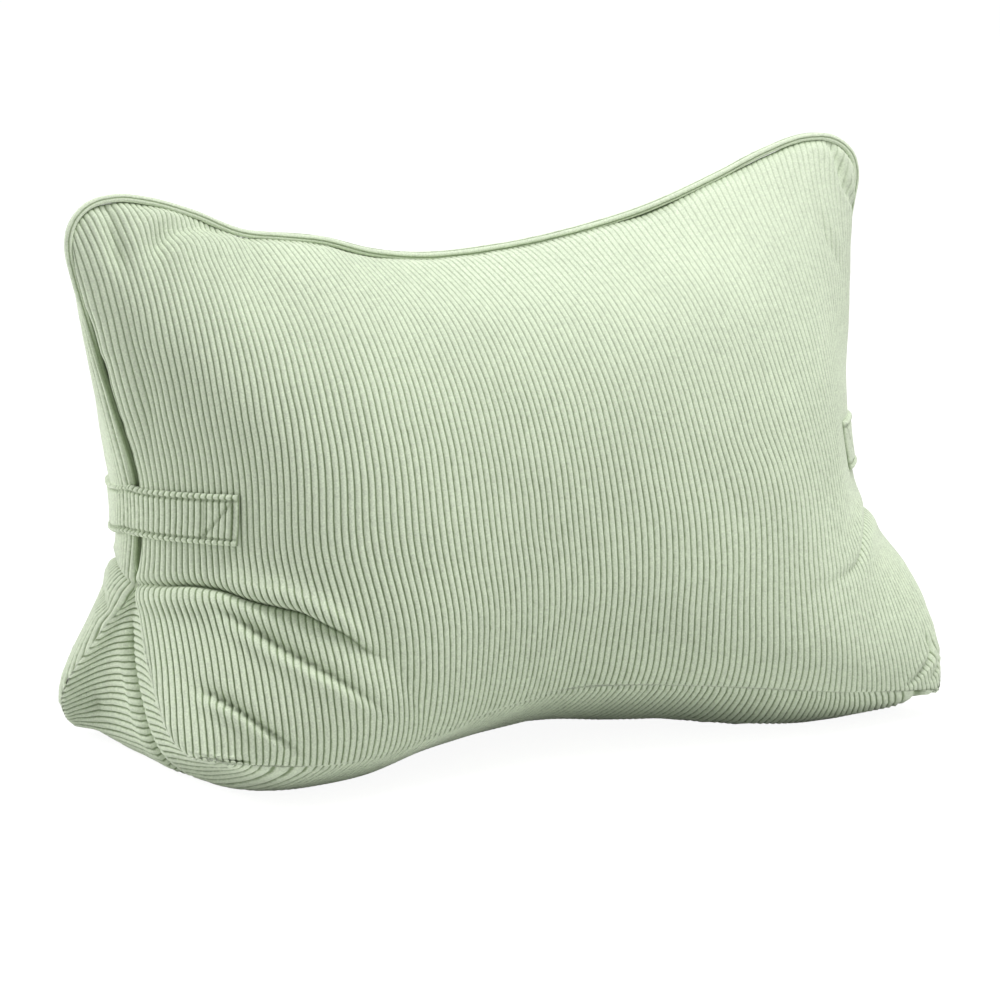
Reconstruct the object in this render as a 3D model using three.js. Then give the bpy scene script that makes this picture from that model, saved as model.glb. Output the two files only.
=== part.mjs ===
/*
 * Back cushion in ribbed cord cloth: a filled, self-standing wedge with a wide foot, a piped
 * seam over its top and sides, and a carrying strap sewn across each side seam.
 *
 * Millimetres, +Z up. The front faces -Y and the width runs along X. The tables below measure
 * from a point on the floor under the middle of the top seam; at the end the whole cushion is
 * moved so that the origin is under its middle. Left and right are those of someone facing
 * the front.
 */
import * as THREE from 'three';
import { mergeVertices } from 'three/addons/utils/BufferGeometryUtils.js';

// ---------------------------------------------------------------- driving dimensions
const PIPING_RADIUS = 3;          // covered cord sewn into the top and side seam
const STRAP_WIDTH = 34;           // height of a carrying strap
const STRAP_THICKNESS = 2.4;      // folded strap, cloth over cloth
const STRAP_REACH = 88;           // sewn length on the front and on the back, from the side seam
const STRAP_HEIGHT = 179;         // middle of the strap above the floor, at the side seam
const STRAP_TILT = 0.06;          // how much the strap rises towards its front end
const STRAP_SHIFT_LEFT = 1;       // how far the left strap is set to the front
const STRAP_SHIFT_RIGHT = -9;     // and the right one
const STRAP_LIFT = 7.4;           // how far the strap stands off where it crosses the piping
const STRAP_LIFT_SPAN = 17;       // how far either side of the seam that lift fades
const GAP = 0.8;                  // air between the strap and the cover below it
const PIPING_GAP = 0.4;           // air between the piping and the seam it follows

const APEX = 0.36;                // level at which the front and back seams part at the side
const LOBE = 0.7;                 // share of the half width where the corner lobes are fullest
const ROUND_FROM = 0.05;          // level from which the sides begin to turn in towards the seam
const TOP_HOLD = 4;               // power with which the top seam's line fades downwards

/*
 * The cover's shape, one row for each level from the seam at the foot to the seam at the top.
 * level: share of the way up. lean: sideways set of the whole level to the right.
 * midY, midZ: depth and height in the middle. lobeX, lobeZ: place of the lobes.
 * lobeLeft, lobeRight: their depth. sideX, sideY, sideZ: the seam at the side, which divides
 * into a front and a back seam below the apex. tilt: added to the height of the front seam
 * at its right end and taken from it at its left end.
 */
const LEVELS = [
  { level: 0.00, lean: 19, midY: 112, midZ: 50, lobeX: 204, lobeZ: 29, lobeLeft: 140, lobeRight: 143,
    sideX: 275, sideY: 127, sideZ: 28, tilt: -9 },
  { level: 0.05, lean: 17, midY: 124, midZ: 63, lobeX: 206, lobeZ: 43, lobeLeft: 150, lobeRight: 151,
    sideX: 284, sideY: 117, sideZ: 34, tilt: -4 },
  { level: 0.11, lean: 15, midY: 135, midZ: 80, lobeX: 208, lobeZ: 62, lobeLeft: 155, lobeRight: 149,
    sideX: 290, sideY: 102, sideZ: 47, tilt: 0 },
  { level: 0.23, lean: 18, midY: 145, midZ: 121, lobeX: 210, lobeZ: 111, lobeLeft: 135, lobeRight: 123,
    sideX: 288, sideY: 54, sideZ: 88, tilt: 0 },
  { level: 0.36, lean: 16.5, midY: 141, midZ: 165, lobeX: 213, lobeZ: 161, lobeLeft: 109, lobeRight: 98,
    sideX: 268.5, sideY: 0, sideZ: 130, tilt: 0 },
  { level: 0.50, lean: 14.5, midY: 135, midZ: 209, lobeX: 219, lobeZ: 212, lobeLeft: 92, lobeRight: 80,
    sideX: 262.5, sideY: 0, sideZ: 191, tilt: 0 },
  { level: 0.65, lean: 9, midY: 119, midZ: 254, lobeX: 224, lobeZ: 266, lobeLeft: 76, lobeRight: 68,
    sideX: 274, sideY: 0, sideZ: 253, tilt: 0 },
  { level: 0.83, lean: 1.5, midY: 77, midZ: 301, lobeX: 228, lobeZ: 327, lobeLeft: 44, lobeRight: 46,
    sideX: 287.5, sideY: 0, sideZ: 318, tilt: 0 },
  { level: 1.00, lean: 0, midY: 0, midZ: 326, lobeX: 228, lobeZ: 379, lobeLeft: 0, lobeRight: 0,
    sideX: 296, sideY: 0, sideZ: 354, tilt: 0 },
];

// The top seam from the left corner to the right one: it dips between two raised corners.
const TOP_SEAM = [
  { x: -296, z: 354 }, { x: -294, z: 372 }, { x: -285, z: 382 }, { x: -266, z: 386 },
  { x: -242, z: 382 }, { x: -210, z: 371 }, { x: -174, z: 355 }, { x: -144, z: 350 },
  { x: -115, z: 345 }, { x: -80, z: 334 }, { x: -45, z: 328 }, { x: 17, z: 328 },
  { x: 74, z: 334 }, { x: 132, z: 345 }, { x: 189, z: 363 }, { x: 227, z: 377 },
  { x: 258, z: 384 }, { x: 280, z: 381 }, { x: 293, z: 370 }, { x: 296, z: 354 },
];

// How the back differs from the front: x, y, z draw the seam at its foot in at the sides, and
// full adds depth to its lobes.
const BACK_CHANGE = [
  { level: 0.00, x: 9, y: 8, z: 22, full: 0 },
  { level: 0.05, x: 8, y: 13, z: 18, full: 0 },
  { level: 0.11, x: 4, y: 20, z: 12, full: 0 },
  { level: 0.23, x: 4, y: 17, z: 4, full: 2 },
  { level: 0.36, x: 0, y: 0, z: 0, full: 4 },
  { level: 0.43, x: 0, y: 0, z: 0, full: 27 },
  { level: 0.50, x: 0, y: 0, z: 0, full: 53 },
  { level: 0.65, x: 0, y: 0, z: 0, full: 50 },
  { level: 0.83, x: 0, y: 0, z: 0, full: 16 },
  { level: 1.00, x: 0, y: 0, z: 0, full: 0 },
];

// Middle line of the strip that makes the base and the side gussets, from a gusset's apex
// (along 0) to the middle of the base (along 1). Below the floor it is pressed flat.
// tilt is added to its height on the right and taken from it on the left.
// fullness: power of the curve across the strip.
const STRIP = [
  { along: 0.00, x: 266.5, z: 130, lean: 16.5, tilt: 0, fullness: 2.0 },
  { along: 0.10, x: 271, z: 100, lean: 19, tilt: 0, fullness: 2.1 },
  { along: 0.20, x: 271, z: 65, lean: 19, tilt: 0, fullness: 2.3 },
  { along: 0.30, x: 267, z: 13.5, lean: 20, tilt: -6.5, fullness: 2.9 },
  { along: 0.38, x: 256, z: -1, lean: 28, tilt: -2, fullness: 3.4 },
  { along: 0.46, x: 238, z: -5, lean: 24, tilt: -1, fullness: 3.4 },
  { along: 0.60, x: 175, z: -11.5, lean: 18, tilt: -3.5, fullness: 2.8 },
  { along: 0.80, x: 90, z: 0, lean: 18, tilt: 0, fullness: 2.2 },
  { along: 1.00, x: 0, z: 5, lean: 18, tilt: 0, fullness: 1.8 },
];
const GUSSET_SHARE = 0.3;         // share of STRIP that belongs to a gusset

// where the piping starts above the apex, and where its run up the side meets the top seam
const PIPING_START = APEX + 0.012;
const PIPING_TURN = 0.985;

// facets: enough for the true form, and few enough for a light solid
const COLUMNS = 38;               // across the front and the back
const ROWS = 22;                  // up the front and the back
const STRIP_ROWS = 12;            // across the base strip
const PIPING_SIDE_POINTS = 18;
const PIPING_TOP_POINTS = 60;
const PIPING_STEPS = 96;
const PIPING_SIDES = 10;
const STRAP_STEPS = 26;
const STRAP_ROWS = 3;
const NORMAL_STEP = 0.004;        // share of the cover over which its slope is taken
const WALK_STEP = 0.005;          // share of the half width taken at a time along the cover
const HALVINGS = 30;              // steps of the search for a height
const SAME_POINT = 1e-4;

// ---------------------------------------------------------------- smooth curves through tables
/** Value at x of a smooth curve through (xs, ys); endSlopes = { weight, first, last }. */
function smooth(xs, ys, x, endSlopes = null) {
  const last = xs.length - 1;
  const chord = (i) => (ys[i + 1] - ys[i]) / (xs[i + 1] - xs[i]);
  const inner = (i) => {
    const before = xs[i] - xs[i - 1];
    const after = xs[i + 1] - xs[i];
    return (chord(i - 1) * after + chord(i) * before) / (before + after);
  };
  const slope = (i) => {
    if (i > 0 && i < last) return inner(i);
    const free = i === 0
      ? 1.5 * chord(0) - 0.5 * inner(1)
      : 1.5 * chord(last - 1) - 0.5 * inner(last - 1);
    if (!endSlopes) return free;
    const given = i === 0 ? endSlopes.first : endSlopes.last;
    return THREE.MathUtils.lerp(free, given, endSlopes.weight);
  };
  let i = 0;
  while (i < last - 1 && x >= xs[i + 1]) i += 1;
  const h = xs[i + 1] - xs[i];
  const u = (x - xs[i]) / h;
  return ys[i] * (1 + 2 * u) * (1 - u) ** 2 + ys[i + 1] * u * u * (3 - 2 * u)
    + h * (slope(i) * u * (1 - u) ** 2 - slope(i + 1) * u * u * (1 - u));
}

/** Column `name` of a table, read smoothly at `value` of its column `key`. */
function read(table, key, name, value) {
  return smooth(table.map((row) => row[key]), table.map((row) => row[name]), value);
}

/** Column `name` of a table, read along straight lines. */
function readStraight(table, key, name, value) {
  let i = 0;
  while (i < table.length - 2 && value >= table[i + 1][key]) i += 1;
  const share = (value - table[i][key]) / (table[i + 1][key] - table[i][key]);
  return THREE.MathUtils.lerp(table[i][name], table[i + 1][name], share);
}

// ---------------------------------------------------------------- front and back of the cover
const SEAM_RUN = TOP_SEAM.reduce((run, p, i) => {
  run.push(i === 0 ? 0 : run[i - 1] + Math.hypot(p.x - TOP_SEAM[i - 1].x, p.z - TOP_SEAM[i - 1].z));
  return run;
}, []);

/** Point of the top seam; across runs from -1 at the left corner to 1 at the right one. */
function topSeam(across) {
  const run = ((across + 1) / 2) * SEAM_RUN[SEAM_RUN.length - 1];
  return {
    x: smooth(SEAM_RUN, TOP_SEAM.map((p) => p.x), run),
    z: smooth(SEAM_RUN, TOP_SEAM.map((p) => p.z), run),
  };
}

/** Sizes of one level of the cover; facing is -1 for the front and 1 for the back. */
function levelAt(level, facing) {
  const size = {};
  for (const name of Object.keys(LEVELS[0])) size[name] = read(LEVELS, 'level', name, level);
  if (level >= APEX) size.sideY = 0;
  if (facing > 0) {
    size.tilt = 0;
    const change = (name) => readStraight(BACK_CHANGE, 'level', name, level);
    size.sideX -= change('x');
    size.sideY -= change('y');
    size.sideZ -= change('z');
    size.lobeLeft += change('full');
    size.lobeRight += change('full');
  }
  return size;
}

/** Point of a level before the top seam's own line is laid over it. */
function onLevel(size, across, facing) {
  const stations = [-1, -LOBE, 0, LOBE, 1];
  const weight = THREE.MathUtils.clamp((size.level - ROUND_FROM) / (APEX - ROUND_FROM), 0, 1);
  const rise = 1 / (1 - LOBE);
  const square = { weight, first: 0, last: 0 };
  const upright = { weight, first: size.lobeLeft * rise, last: -size.lobeRight * rise };
  const xs = [-size.sideX, -size.lobeX, 0, size.lobeX, size.sideX];
  const ys = [size.sideY, size.lobeLeft, size.midY, size.lobeRight, size.sideY];
  const zs = [size.sideZ - size.tilt, size.lobeZ, size.midZ, size.lobeZ, size.sideZ + size.tilt];
  return new THREE.Vector3(
    smooth(stations, xs, across, square) + size.lean,
    facing * smooth(stations, ys, across, upright),
    smooth(stations, zs, across),
  );
}

/** Point of the front (facing -1) or back (facing 1): across -1..1, level 0..1. */
function cover(across, level, facing) {
  const point = onLevel(levelAt(level, facing), across, facing);
  const plain = onLevel(levelAt(1, facing), across, facing);
  const seam = topSeam(across);
  const hold = level ** TOP_HOLD;
  point.x += (seam.x - plain.x) * hold;
  point.z += (seam.z - plain.z) * hold;
  return point;
}

/** Outward unit normal of the cover. */
function coverNormal(across, level, facing) {
  const a = Math.max(across - NORMAL_STEP, -1);
  const b = Math.min(across + NORMAL_STEP, 1);
  const along = cover(b, level, facing).sub(cover(a, level, facing));
  const up = cover(across, level + NORMAL_STEP, facing)
    .sub(cover(across, level - NORMAL_STEP, facing));
  return along.cross(up).multiplyScalar(-facing).normalize();
}

// ---------------------------------------------------------------- building closed meshes
/** Triangles of a grid of points, row by row, outward side by `flip`. */
function gridTriangles(grid, flip) {
  const triangles = [];
  for (let j = 0; j + 1 < grid.length; j += 1) {
    for (let i = 0; i + 1 < grid[j].length; i += 1) {
      const [a, b, c, d] = [grid[j][i], grid[j][i + 1], grid[j + 1][i + 1], grid[j + 1][i]];
      const pair = (i + j) % 2 ? [[a, b, c], [a, c, d]] : [[a, b, d], [b, c, d]];
      for (const t of pair) triangles.push(flip ? [t[0], t[2], t[1]] : t);
    }
  }
  return triangles;
}

/** Closed geometry from triangles of points; triangles without area are left out. */
function closedGeometry(triangles) {
  const positions = [];
  const same = (p, q) => p.distanceTo(q) < SAME_POINT;
  for (const [a, b, c] of triangles) {
    if (same(a, b) || same(b, c) || same(c, a)) continue;
    for (const p of [a, b, c]) positions.push(p.x, p.y, p.z);
  }
  const geometry = new THREE.BufferGeometry();
  geometry.setAttribute('position', new THREE.Float32BufferAttribute(positions, 3));
  return mergeVertices(geometry, SAME_POINT);
}

/** Numbers from one value to another in equal steps, both ends with them. */
const spread = (from, to, steps) => Array.from(
  { length: steps + 1 },
  (_, i) => from + ((to - from) * i) / steps,
);

// ---------------------------------------------------------------- the filled cushion
const apexRow = Math.round(ROWS * APEX);
const levelSteps = [...spread(0, APEX, apexRow), ...spread(APEX, 1, ROWS - apexRow).slice(1)];
const acrossSteps = spread(-1, 1, COLUMNS);

function coverGrid(facing) {
  return levelSteps.map((level) => acrossSteps.map((across) => cover(across, level, facing)));
}

/** Edge of a cover grid that the base strip is sewn to: down one gusset, along, up the other. */
function footEdge(grid) {
  const left = spread(apexRow, 1, apexRow - 1).map((row) => grid[row][0]);
  const right = spread(1, apexRow, apexRow - 1).map((row) => grid[row][COLUMNS]);
  return [...left, ...grid[0], ...right];
}

/** Point in the middle of the base strip, `share` 0..1 along it from the left apex to the right. */
function stripLine(share) {
  const along = 1 - Math.abs(2 * share - 1);
  const side = share < 0.5 ? -1 : 1;
  const value = (name) => read(STRIP, 'along', name, along);
  return {
    centre: new THREE.Vector3(
      side * value('x') + value('lean'),
      0,
      value('z') + side * value('tilt'),
    ),
    fullness: value('fullness'),
  };
}

/** Base and gussets in one strip, from the front edge to the back edge. */
function stripGrid(frontEdge, backEdge) {
  const count = frontEdge.length;
  const gussetEnd = (GUSSET_SHARE / 2) / apexRow;
  const baseStep = (1 - GUSSET_SHARE) / COLUMNS;
  return spread(-1, 1, STRIP_ROWS).map((q) => frontEdge.map((front, k) => {
    const back = backEdge[k];
    if (k === 0 || k === count - 1) return front.clone();
    if (Math.abs(q) === 1) return q < 0 ? front : back;
    const fromRight = count - 1 - k;
    let share = GUSSET_SHARE / 2 + (k - apexRow) * baseStep;
    if (k < apexRow) share = k * gussetEnd;
    if (fromRight < apexRow) share = 1 - fromRight * gussetEnd;
    const { centre, fullness } = stripLine(share);
    const chord = front.clone().lerp(back, (q + 1) / 2);
    const middle = front.clone().lerp(back, 0.5);
    const point = chord.addScaledVector(centre.sub(middle), 1 - Math.abs(q) ** fullness);
    point.z = Math.max(point.z, 0);
    return point;
  }));
}

function cushionGeometry() {
  const front = coverGrid(-1);
  const back = coverGrid(1);
  const strip = stripGrid(footEdge(front), footEdge(back));
  return closedGeometry([
    ...gridTriangles(front, false),
    ...gridTriangles(back, true),
    ...gridTriangles(strip, true),
  ]);
}

// ---------------------------------------------------------------- piping
/** Line of the piping: the seam from one apex over the top to the other, moved out of it. */
function pipingCurve() {
  const sides = spread(PIPING_START, PIPING_TURN, PIPING_SIDE_POINTS);
  const seam = [
    ...sides.map((level) => cover(-1, level, -1)),
    ...spread(-1, 1, PIPING_TOP_POINTS).map((across) => cover(across, 1, -1)),
    ...sides.reverse().map((level) => cover(1, level, -1)),
  ];
  const out = PIPING_RADIUS + PIPING_GAP;
  return new THREE.CatmullRomCurve3(seam.map((p, i) => {
    const before = seam[Math.max(i - 1, 0)];
    const after = seam[Math.min(i + 1, seam.length - 1)];
    const run = after.clone().sub(before).normalize();
    return new THREE.Vector3(p.x - run.z * out, 0, p.z + run.x * out);
  }), false, 'centripetal');
}

function pipingGeometry() {
  const section = new THREE.Shape();
  for (let i = 0; i < PIPING_SIDES; i += 1) {
    const angle = (2 * Math.PI * i) / PIPING_SIDES;
    const x = PIPING_RADIUS * Math.cos(angle);
    const y = PIPING_RADIUS * Math.sin(angle);
    if (i === 0) section.moveTo(x, y);
    else section.lineTo(x, y);
  }
  section.closePath();
  return new THREE.ExtrudeGeometry(section, { steps: PIPING_STEPS, extrudePath: pipingCurve() });
}

// ---------------------------------------------------------------- carrying straps
/** Level at which the cover has the height z. */
function levelOfHeight(across, z, facing) {
  let low = 0;
  let high = 1;
  for (let i = 0; i < HALVINGS; i += 1) {
    const middle = (low + high) / 2;
    if (cover(across, middle, facing).z < z) low = middle;
    else high = middle;
  }
  return (low + high) / 2;
}

/** Across value for a run along the cover from the side seam; side is -1 left or 1 right. */
function acrossOfRun(run, z, side, facing) {
  let across = side;
  let done = 0;
  let here = cover(across, levelOfHeight(across, z, facing), facing);
  while (done < run) {
    const next = across - side * WALK_STEP;
    const there = cover(next, levelOfHeight(next, z, facing), facing);
    const length = there.distanceTo(here);
    if (done + length >= run) return across - side * WALK_STEP * ((run - done) / length);
    done += length;
    across = next;
    here = there;
  }
  return across;
}

/** Strap point: run is signed, below 0 on the front; up is -1..1 over its width; out is mm. */
function strapPoint(run, up, out, side) {
  const facing = run < 0 ? -1 : 1;
  const z = STRAP_HEIGHT - STRAP_TILT * run + (up * STRAP_WIDTH) / 2;
  const across = acrossOfRun(Math.abs(run), z, side, facing);
  const level = levelOfHeight(across, z, facing);
  const onSeam = Math.abs(run) < SAME_POINT;
  const normal = onSeam ? new THREE.Vector3(side, 0, 0) : coverNormal(across, level, facing);
  const lift = STRAP_LIFT * Math.exp(-((run / STRAP_LIFT_SPAN) ** 2));
  return cover(across, level, facing).addScaledVector(normal, GAP + lift + out);
}

function strapGeometry(side) {
  const shift = side < 0 ? STRAP_SHIFT_LEFT : STRAP_SHIFT_RIGHT;
  const half = STRAP_STEPS / 2;
  const runs = [...spread(-STRAP_REACH - shift, 0, half),
    ...spread(0, STRAP_REACH - shift, half).slice(1)];
  const rows = spread(-1, 1, STRAP_ROWS);
  const inner = rows.map((up) => runs.map((run) => strapPoint(run, up, 0, side)));
  const outer = rows.map((up) => runs.map((run) => strapPoint(run, up, STRAP_THICKNESS, side)));
  const last = rows.length - 1;
  const column = (grid, i) => grid.map((row) => row[i]);
  const flip = side > 0;
  return closedGeometry([
    ...gridTriangles(outer, !flip),
    ...gridTriangles(inner, flip),
    ...gridTriangles([inner[0], outer[0]], !flip),
    ...gridTriangles([outer[last], inner[last]], !flip),
    ...gridTriangles([column(inner, 0), column(outer, 0)], flip),
    ...gridTriangles([column(outer, STRAP_STEPS), column(inner, STRAP_STEPS)], flip),
  ]);
}

// ---------------------------------------------------------------- assembly
const cord = new THREE.MeshStandardMaterial({ color: 0xc3d0b5, roughness: 0.95, metalness: 0 });
const cordLight = new THREE.MeshStandardMaterial({ color: 0xcfdbc0, roughness: 0.95, metalness: 0 });
const cordStrap = new THREE.MeshStandardMaterial({ color: 0xc4d0b9, roughness: 0.95, metalness: 0 });

function piece(name, geometry, material) {
  geometry.computeVertexNormals();
  const mesh = new THREE.Mesh(geometry, material);
  mesh.name = name;
  return mesh;
}

const group = new THREE.Group();
group.add(piece('cushion_body', cushionGeometry(), cord));
group.add(piece('piping', pipingGeometry(), cordLight));
group.add(piece('handle_left', strapGeometry(-1), cordStrap));
group.add(piece('handle_right', strapGeometry(1), cordStrap));

// the origin goes to the middle of the foot, under the middle of the whole cushion
const middle = new THREE.Box3().setFromObject(group, true).getCenter(new THREE.Vector3());
group.position.set(-middle.x, -middle.y, 0);

export default group;
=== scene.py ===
"""Back cushion in ribbed cord cloth: a filled wedge that stands on its own wide foot.

The cover is one closed mesh: a front and a back panel and one strip that makes the gussets and
the base, each with its ribs as real relief. Piping lies in the seam over the top and sides, and
a topstitched carrying strap crosses each side seam. The tables of the cover's form are in
millimetres; every mesh is in metres.
"""
import math

import bmesh
import bpy
import numpy as np
from bpy.props import FloatProperty, FloatVectorProperty, PointerProperty
from bpy.types import Operator, Panel, PropertyGroup
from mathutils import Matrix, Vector


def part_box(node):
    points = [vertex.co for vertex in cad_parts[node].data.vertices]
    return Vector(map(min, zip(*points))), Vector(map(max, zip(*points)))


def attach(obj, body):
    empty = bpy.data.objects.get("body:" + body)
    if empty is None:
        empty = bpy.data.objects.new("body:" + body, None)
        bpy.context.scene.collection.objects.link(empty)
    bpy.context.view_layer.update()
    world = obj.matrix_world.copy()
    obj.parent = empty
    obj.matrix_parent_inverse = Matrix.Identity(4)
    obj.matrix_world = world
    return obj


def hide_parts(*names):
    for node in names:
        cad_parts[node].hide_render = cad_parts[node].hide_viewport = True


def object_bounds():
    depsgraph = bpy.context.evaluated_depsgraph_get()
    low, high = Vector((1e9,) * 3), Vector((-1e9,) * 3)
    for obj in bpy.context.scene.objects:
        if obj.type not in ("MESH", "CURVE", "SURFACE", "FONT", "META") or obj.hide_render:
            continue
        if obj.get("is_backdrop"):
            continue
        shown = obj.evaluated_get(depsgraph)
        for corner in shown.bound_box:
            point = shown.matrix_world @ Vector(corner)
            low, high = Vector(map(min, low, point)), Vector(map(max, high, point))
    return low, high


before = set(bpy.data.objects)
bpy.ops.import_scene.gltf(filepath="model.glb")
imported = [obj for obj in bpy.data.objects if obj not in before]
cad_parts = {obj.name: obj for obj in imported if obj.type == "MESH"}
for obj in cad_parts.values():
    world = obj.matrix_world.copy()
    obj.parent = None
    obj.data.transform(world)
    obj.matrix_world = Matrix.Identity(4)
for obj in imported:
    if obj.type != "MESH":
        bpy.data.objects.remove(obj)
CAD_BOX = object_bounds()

bl_info = {
    "name": "Cord Back Cushion",
    "version": (1, 0, 0),
    "blender": (4, 5, 0),
    "location": "View3D > Sidebar > Cushion",
    "description": "Builds a self-standing back cushion in ribbed cord cloth",
    "category": "Add Mesh",
}

# ------------------------------------------------------------------ the cover's form
MM = 0.001
APEX = 0.36          # level at which the front and back seams part at the side
LOBE = 0.7           # share of the half width where the corner lobes are fullest
ROUND_FROM = 0.05    # level from which the sides begin to turn in towards the seam
TOP_HOLD = 4         # power with which the top seam's line fades downwards
FULL_LEVEL = 0.25    # level at which the panels have all their ribs; lower ones end on a gusset
FRONT, BACK = -1, 1

# one row for each level, from the seam at the foot to the seam at the top; tilt is added to the
# height of the front seam at its right end and taken from it at its left end
LEVEL_NAMES = ("level", "lean", "mid_y", "mid_z", "lobe_x", "lobe_z", "lobe_left",
               "lobe_right", "side_x", "side_y", "side_z", "tilt")
LEVELS = np.array((
    (0.00, 19, 112, 50, 204, 29, 140, 143, 275, 127, 28, -9),
    (0.05, 17, 124, 63, 206, 43, 150, 151, 284, 117, 34, -4),
    (0.11, 15, 135, 80, 208, 62, 155, 149, 290, 102, 47, 0),
    (0.23, 18, 145, 121, 210, 111, 135, 123, 288, 54, 88, 0),
    (0.36, 16.5, 141, 165, 213, 161, 109, 98, 268.5, 0, 130, 0),
    (0.50, 14.5, 135, 209, 219, 212, 92, 80, 262.5, 0, 191, 0),
    (0.65, 9, 119, 254, 224, 266, 76, 68, 274, 0, 253, 0),
    (0.83, 1.5, 77, 301, 228, 327, 44, 46, 287.5, 0, 318, 0),
    (1.00, 0, 0, 326, 228, 379, 0, 0, 296, 0, 354, 0),
))

# the top seam, x and z: it dips between two raised corners
TOP_SEAM = np.array((
    (-296, 354), (-294, 372), (-285, 382), (-266, 386), (-242, 382), (-210, 371),
    (-174, 355), (-144, 350),
    (-115, 345), (-80, 334), (-45, 328), (17, 328), (74, 334), (132, 345), (189, 363),
    (227, 377), (258, 384), (280, 381), (293, 370), (296, 354),
))

# how the back differs: its foot seam is drawn in by x, y, z at the sides, its lobes are fuller
BACK_NAMES = ("level", "x", "y", "z", "full")
BACK_CHANGE = np.array((
    (0.00, 9, 8, 22, 0),
    (0.05, 8, 13, 18, 0),
    (0.11, 4, 20, 12, 0),
    (0.23, 4, 17, 4, 2),
    (0.36, 0, 0, 0, 4),
    (0.43, 0, 0, 0, 27),
    (0.50, 0, 0, 0, 53),
    (0.65, 0, 0, 0, 50),
    (0.83, 0, 0, 0, 16),
    (1.00, 0, 0, 0, 0),
))

# middle line of the strip, from a gusset's apex (along 0) to the middle of the base (along 1);
# tilt is added to its height on the right and taken from it on the left
STRIP_NAMES = ("along", "x", "z", "lean", "tilt", "fullness")
STRIP = np.array((
    (0.00, 266.5, 130, 16.5, 0, 2.0),
    (0.10, 271, 100, 19, 0, 2.1),
    (0.20, 271, 65, 19, 0, 2.3),
    (0.30, 267, 13.5, 20, -6.5, 2.9),
    (0.38, 256, -1, 28, -2, 3.4),
    (0.46, 238, -5, 24, -1, 3.4),
    (0.60, 175, -11.5, 18, -3.5, 2.8),
    (0.80, 90, 0, 18, 0, 2.2),
    (1.00, 0, 5, 18, 0, 1.8),
))
GUSSET_SHARE = 0.3   # share of the strip's half that belongs to a gusset
STRIP_RELIEF = 1.25  # how deep the strip's grooves are, as a share
RIGHT_CORNER = (0.83, 0.09, 0.15)   # share of the strip where its right corner is, how far
                                    # that reaches, and by how much it is fuller there
STRIP_SCALE = np.array([1.0, 100.0])   # millimetres in one unit of place and of across

# rows of mesh up the front and the back, and across the strip
FRONT_ROWS = 96
BACK_ROWS = 36
STRIP_ROWS = 27

# A panel's main crease: a sharp trough that crosses the lobes at the height where they swell
# most. level is where it runs, depth that of the trough, above and below the bulge of the
# cloth on either side of it and fall how wide the trough is below, in millimetres. Between the
# two lobes it fades out.
CREASE_NAMES = ("across", "level", "depth", "above", "below", "fall")
FRONT_CREASE = np.array((
    (-1.000, 0.356, 2.5, 0.5, 1.5, 3),
    (-0.920, 0.346, 5.0, 0.5, 3.8, 3),
    (-0.850, 0.340, 7.5, 0.8, 5.0, 3),
    (-0.790, 0.328, 9.0, 1.6, 4.8, 3.5),
    (-0.730, 0.308, 10.0, 3.4, 3.0, 5),
    (-0.680, 0.295, 10.5, 5.0, 1.5, 7),
    (-0.640, 0.283, 10.0, 5.4, 0.5, 8),
    (-0.600, 0.262, 8.5, 5.2, 0.0, 8),
    (-0.560, 0.238, 6.0, 4.0, 0.0, 8),
    (-0.527, 0.210, 3.0, 2.0, 0.0, 8),
    (-0.480, 0.185, 0.0, 0.0, 0.0, 7),
    (0.450, 0.200, 0.0, 0.0, 0.0, 6),
    (0.600, 0.222, 0.8, 0.8, 0.0, 6),
    (0.680, 0.245, 2.4, 1.8, 0.8, 6),
    (0.740, 0.285, 4.2, 2.2, 2.4, 5),
    (0.860, 0.330, 5.0, 1.0, 3.0, 4),
    (1.000, 0.350, 2.5, 0.5, 1.5, 3),
))
BACK_CREASE = np.array((
    (-1.00, 0.352, 2.5, 0.5, 1.5, 3),
    (-0.86, 0.335, 5.5, 1.0, 3.5, 4),
    (-0.74, 0.295, 7.0, 3.0, 3.0, 6),
    (-0.62, 0.248, 5.0, 3.0, 0.5, 7),
    (-0.50, 0.205, 0.0, 0.0, 0.0, 6),
    (0.42, 0.200, 0.0, 0.0, 0.0, 6),
    (0.56, 0.240, 5.0, 3.0, 0.8, 7),
    (0.70, 0.292, 7.5, 3.0, 3.5, 5),
    (0.85, 0.332, 6.5, 1.0, 3.5, 4),
    (1.00, 0.352, 2.5, 0.5, 1.5, 3),
))
CREASE_ROW = 0.34     # share of a panel's rows that lies along its crease
LOWEST_ROW = 0.04     # lowest level to which that row follows it
CREASE_REACH = 0.62   # share of the rows above which they are level again

# The crease in each gusset where its cloth folds in. place is measured in millimetres from the
# left apex along the strip, across from the front (-1) to the back (1) of it.
STRIP_CREASE_NAMES = ("place", "across", "depth", "above", "below", "fall")
STRIP_CREASE = np.array((
    (0, 0.30, 0.0, 0.0, 0.0, 3),
    (28, 0.24, 1.5, 0.8, 0.0, 3),
    (45, 0.19, 7.5, 2.6, 0.0, 3),
    (60, 0.10, 11.0, 3.4, 0.5, 3),
    (84, -0.03, 13.0, 4.0, 1.0, 3),
    (107, -0.13, 12.0, 3.6, 1.5, 3),
    (130, -0.17, 7.0, 2.4, 1.0, 3),
    (158, -0.18, 0.0, 0.0, 0.0, 3),
    (662, 0.00, 0.0, 0.0, 0.0, 3),
    (680, 0.04, 5.0, 1.8, 0.5, 3),
    (702, 0.02, 8.0, 3.0, 0.5, 3),
    (728, 0.10, 6.0, 2.0, 0.0, 3),
    (750, 0.15, 0.0, 0.0, 0.0, 3),
    (776, 0.15, 0.0, 0.0, 0.0, 3),
))

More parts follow.
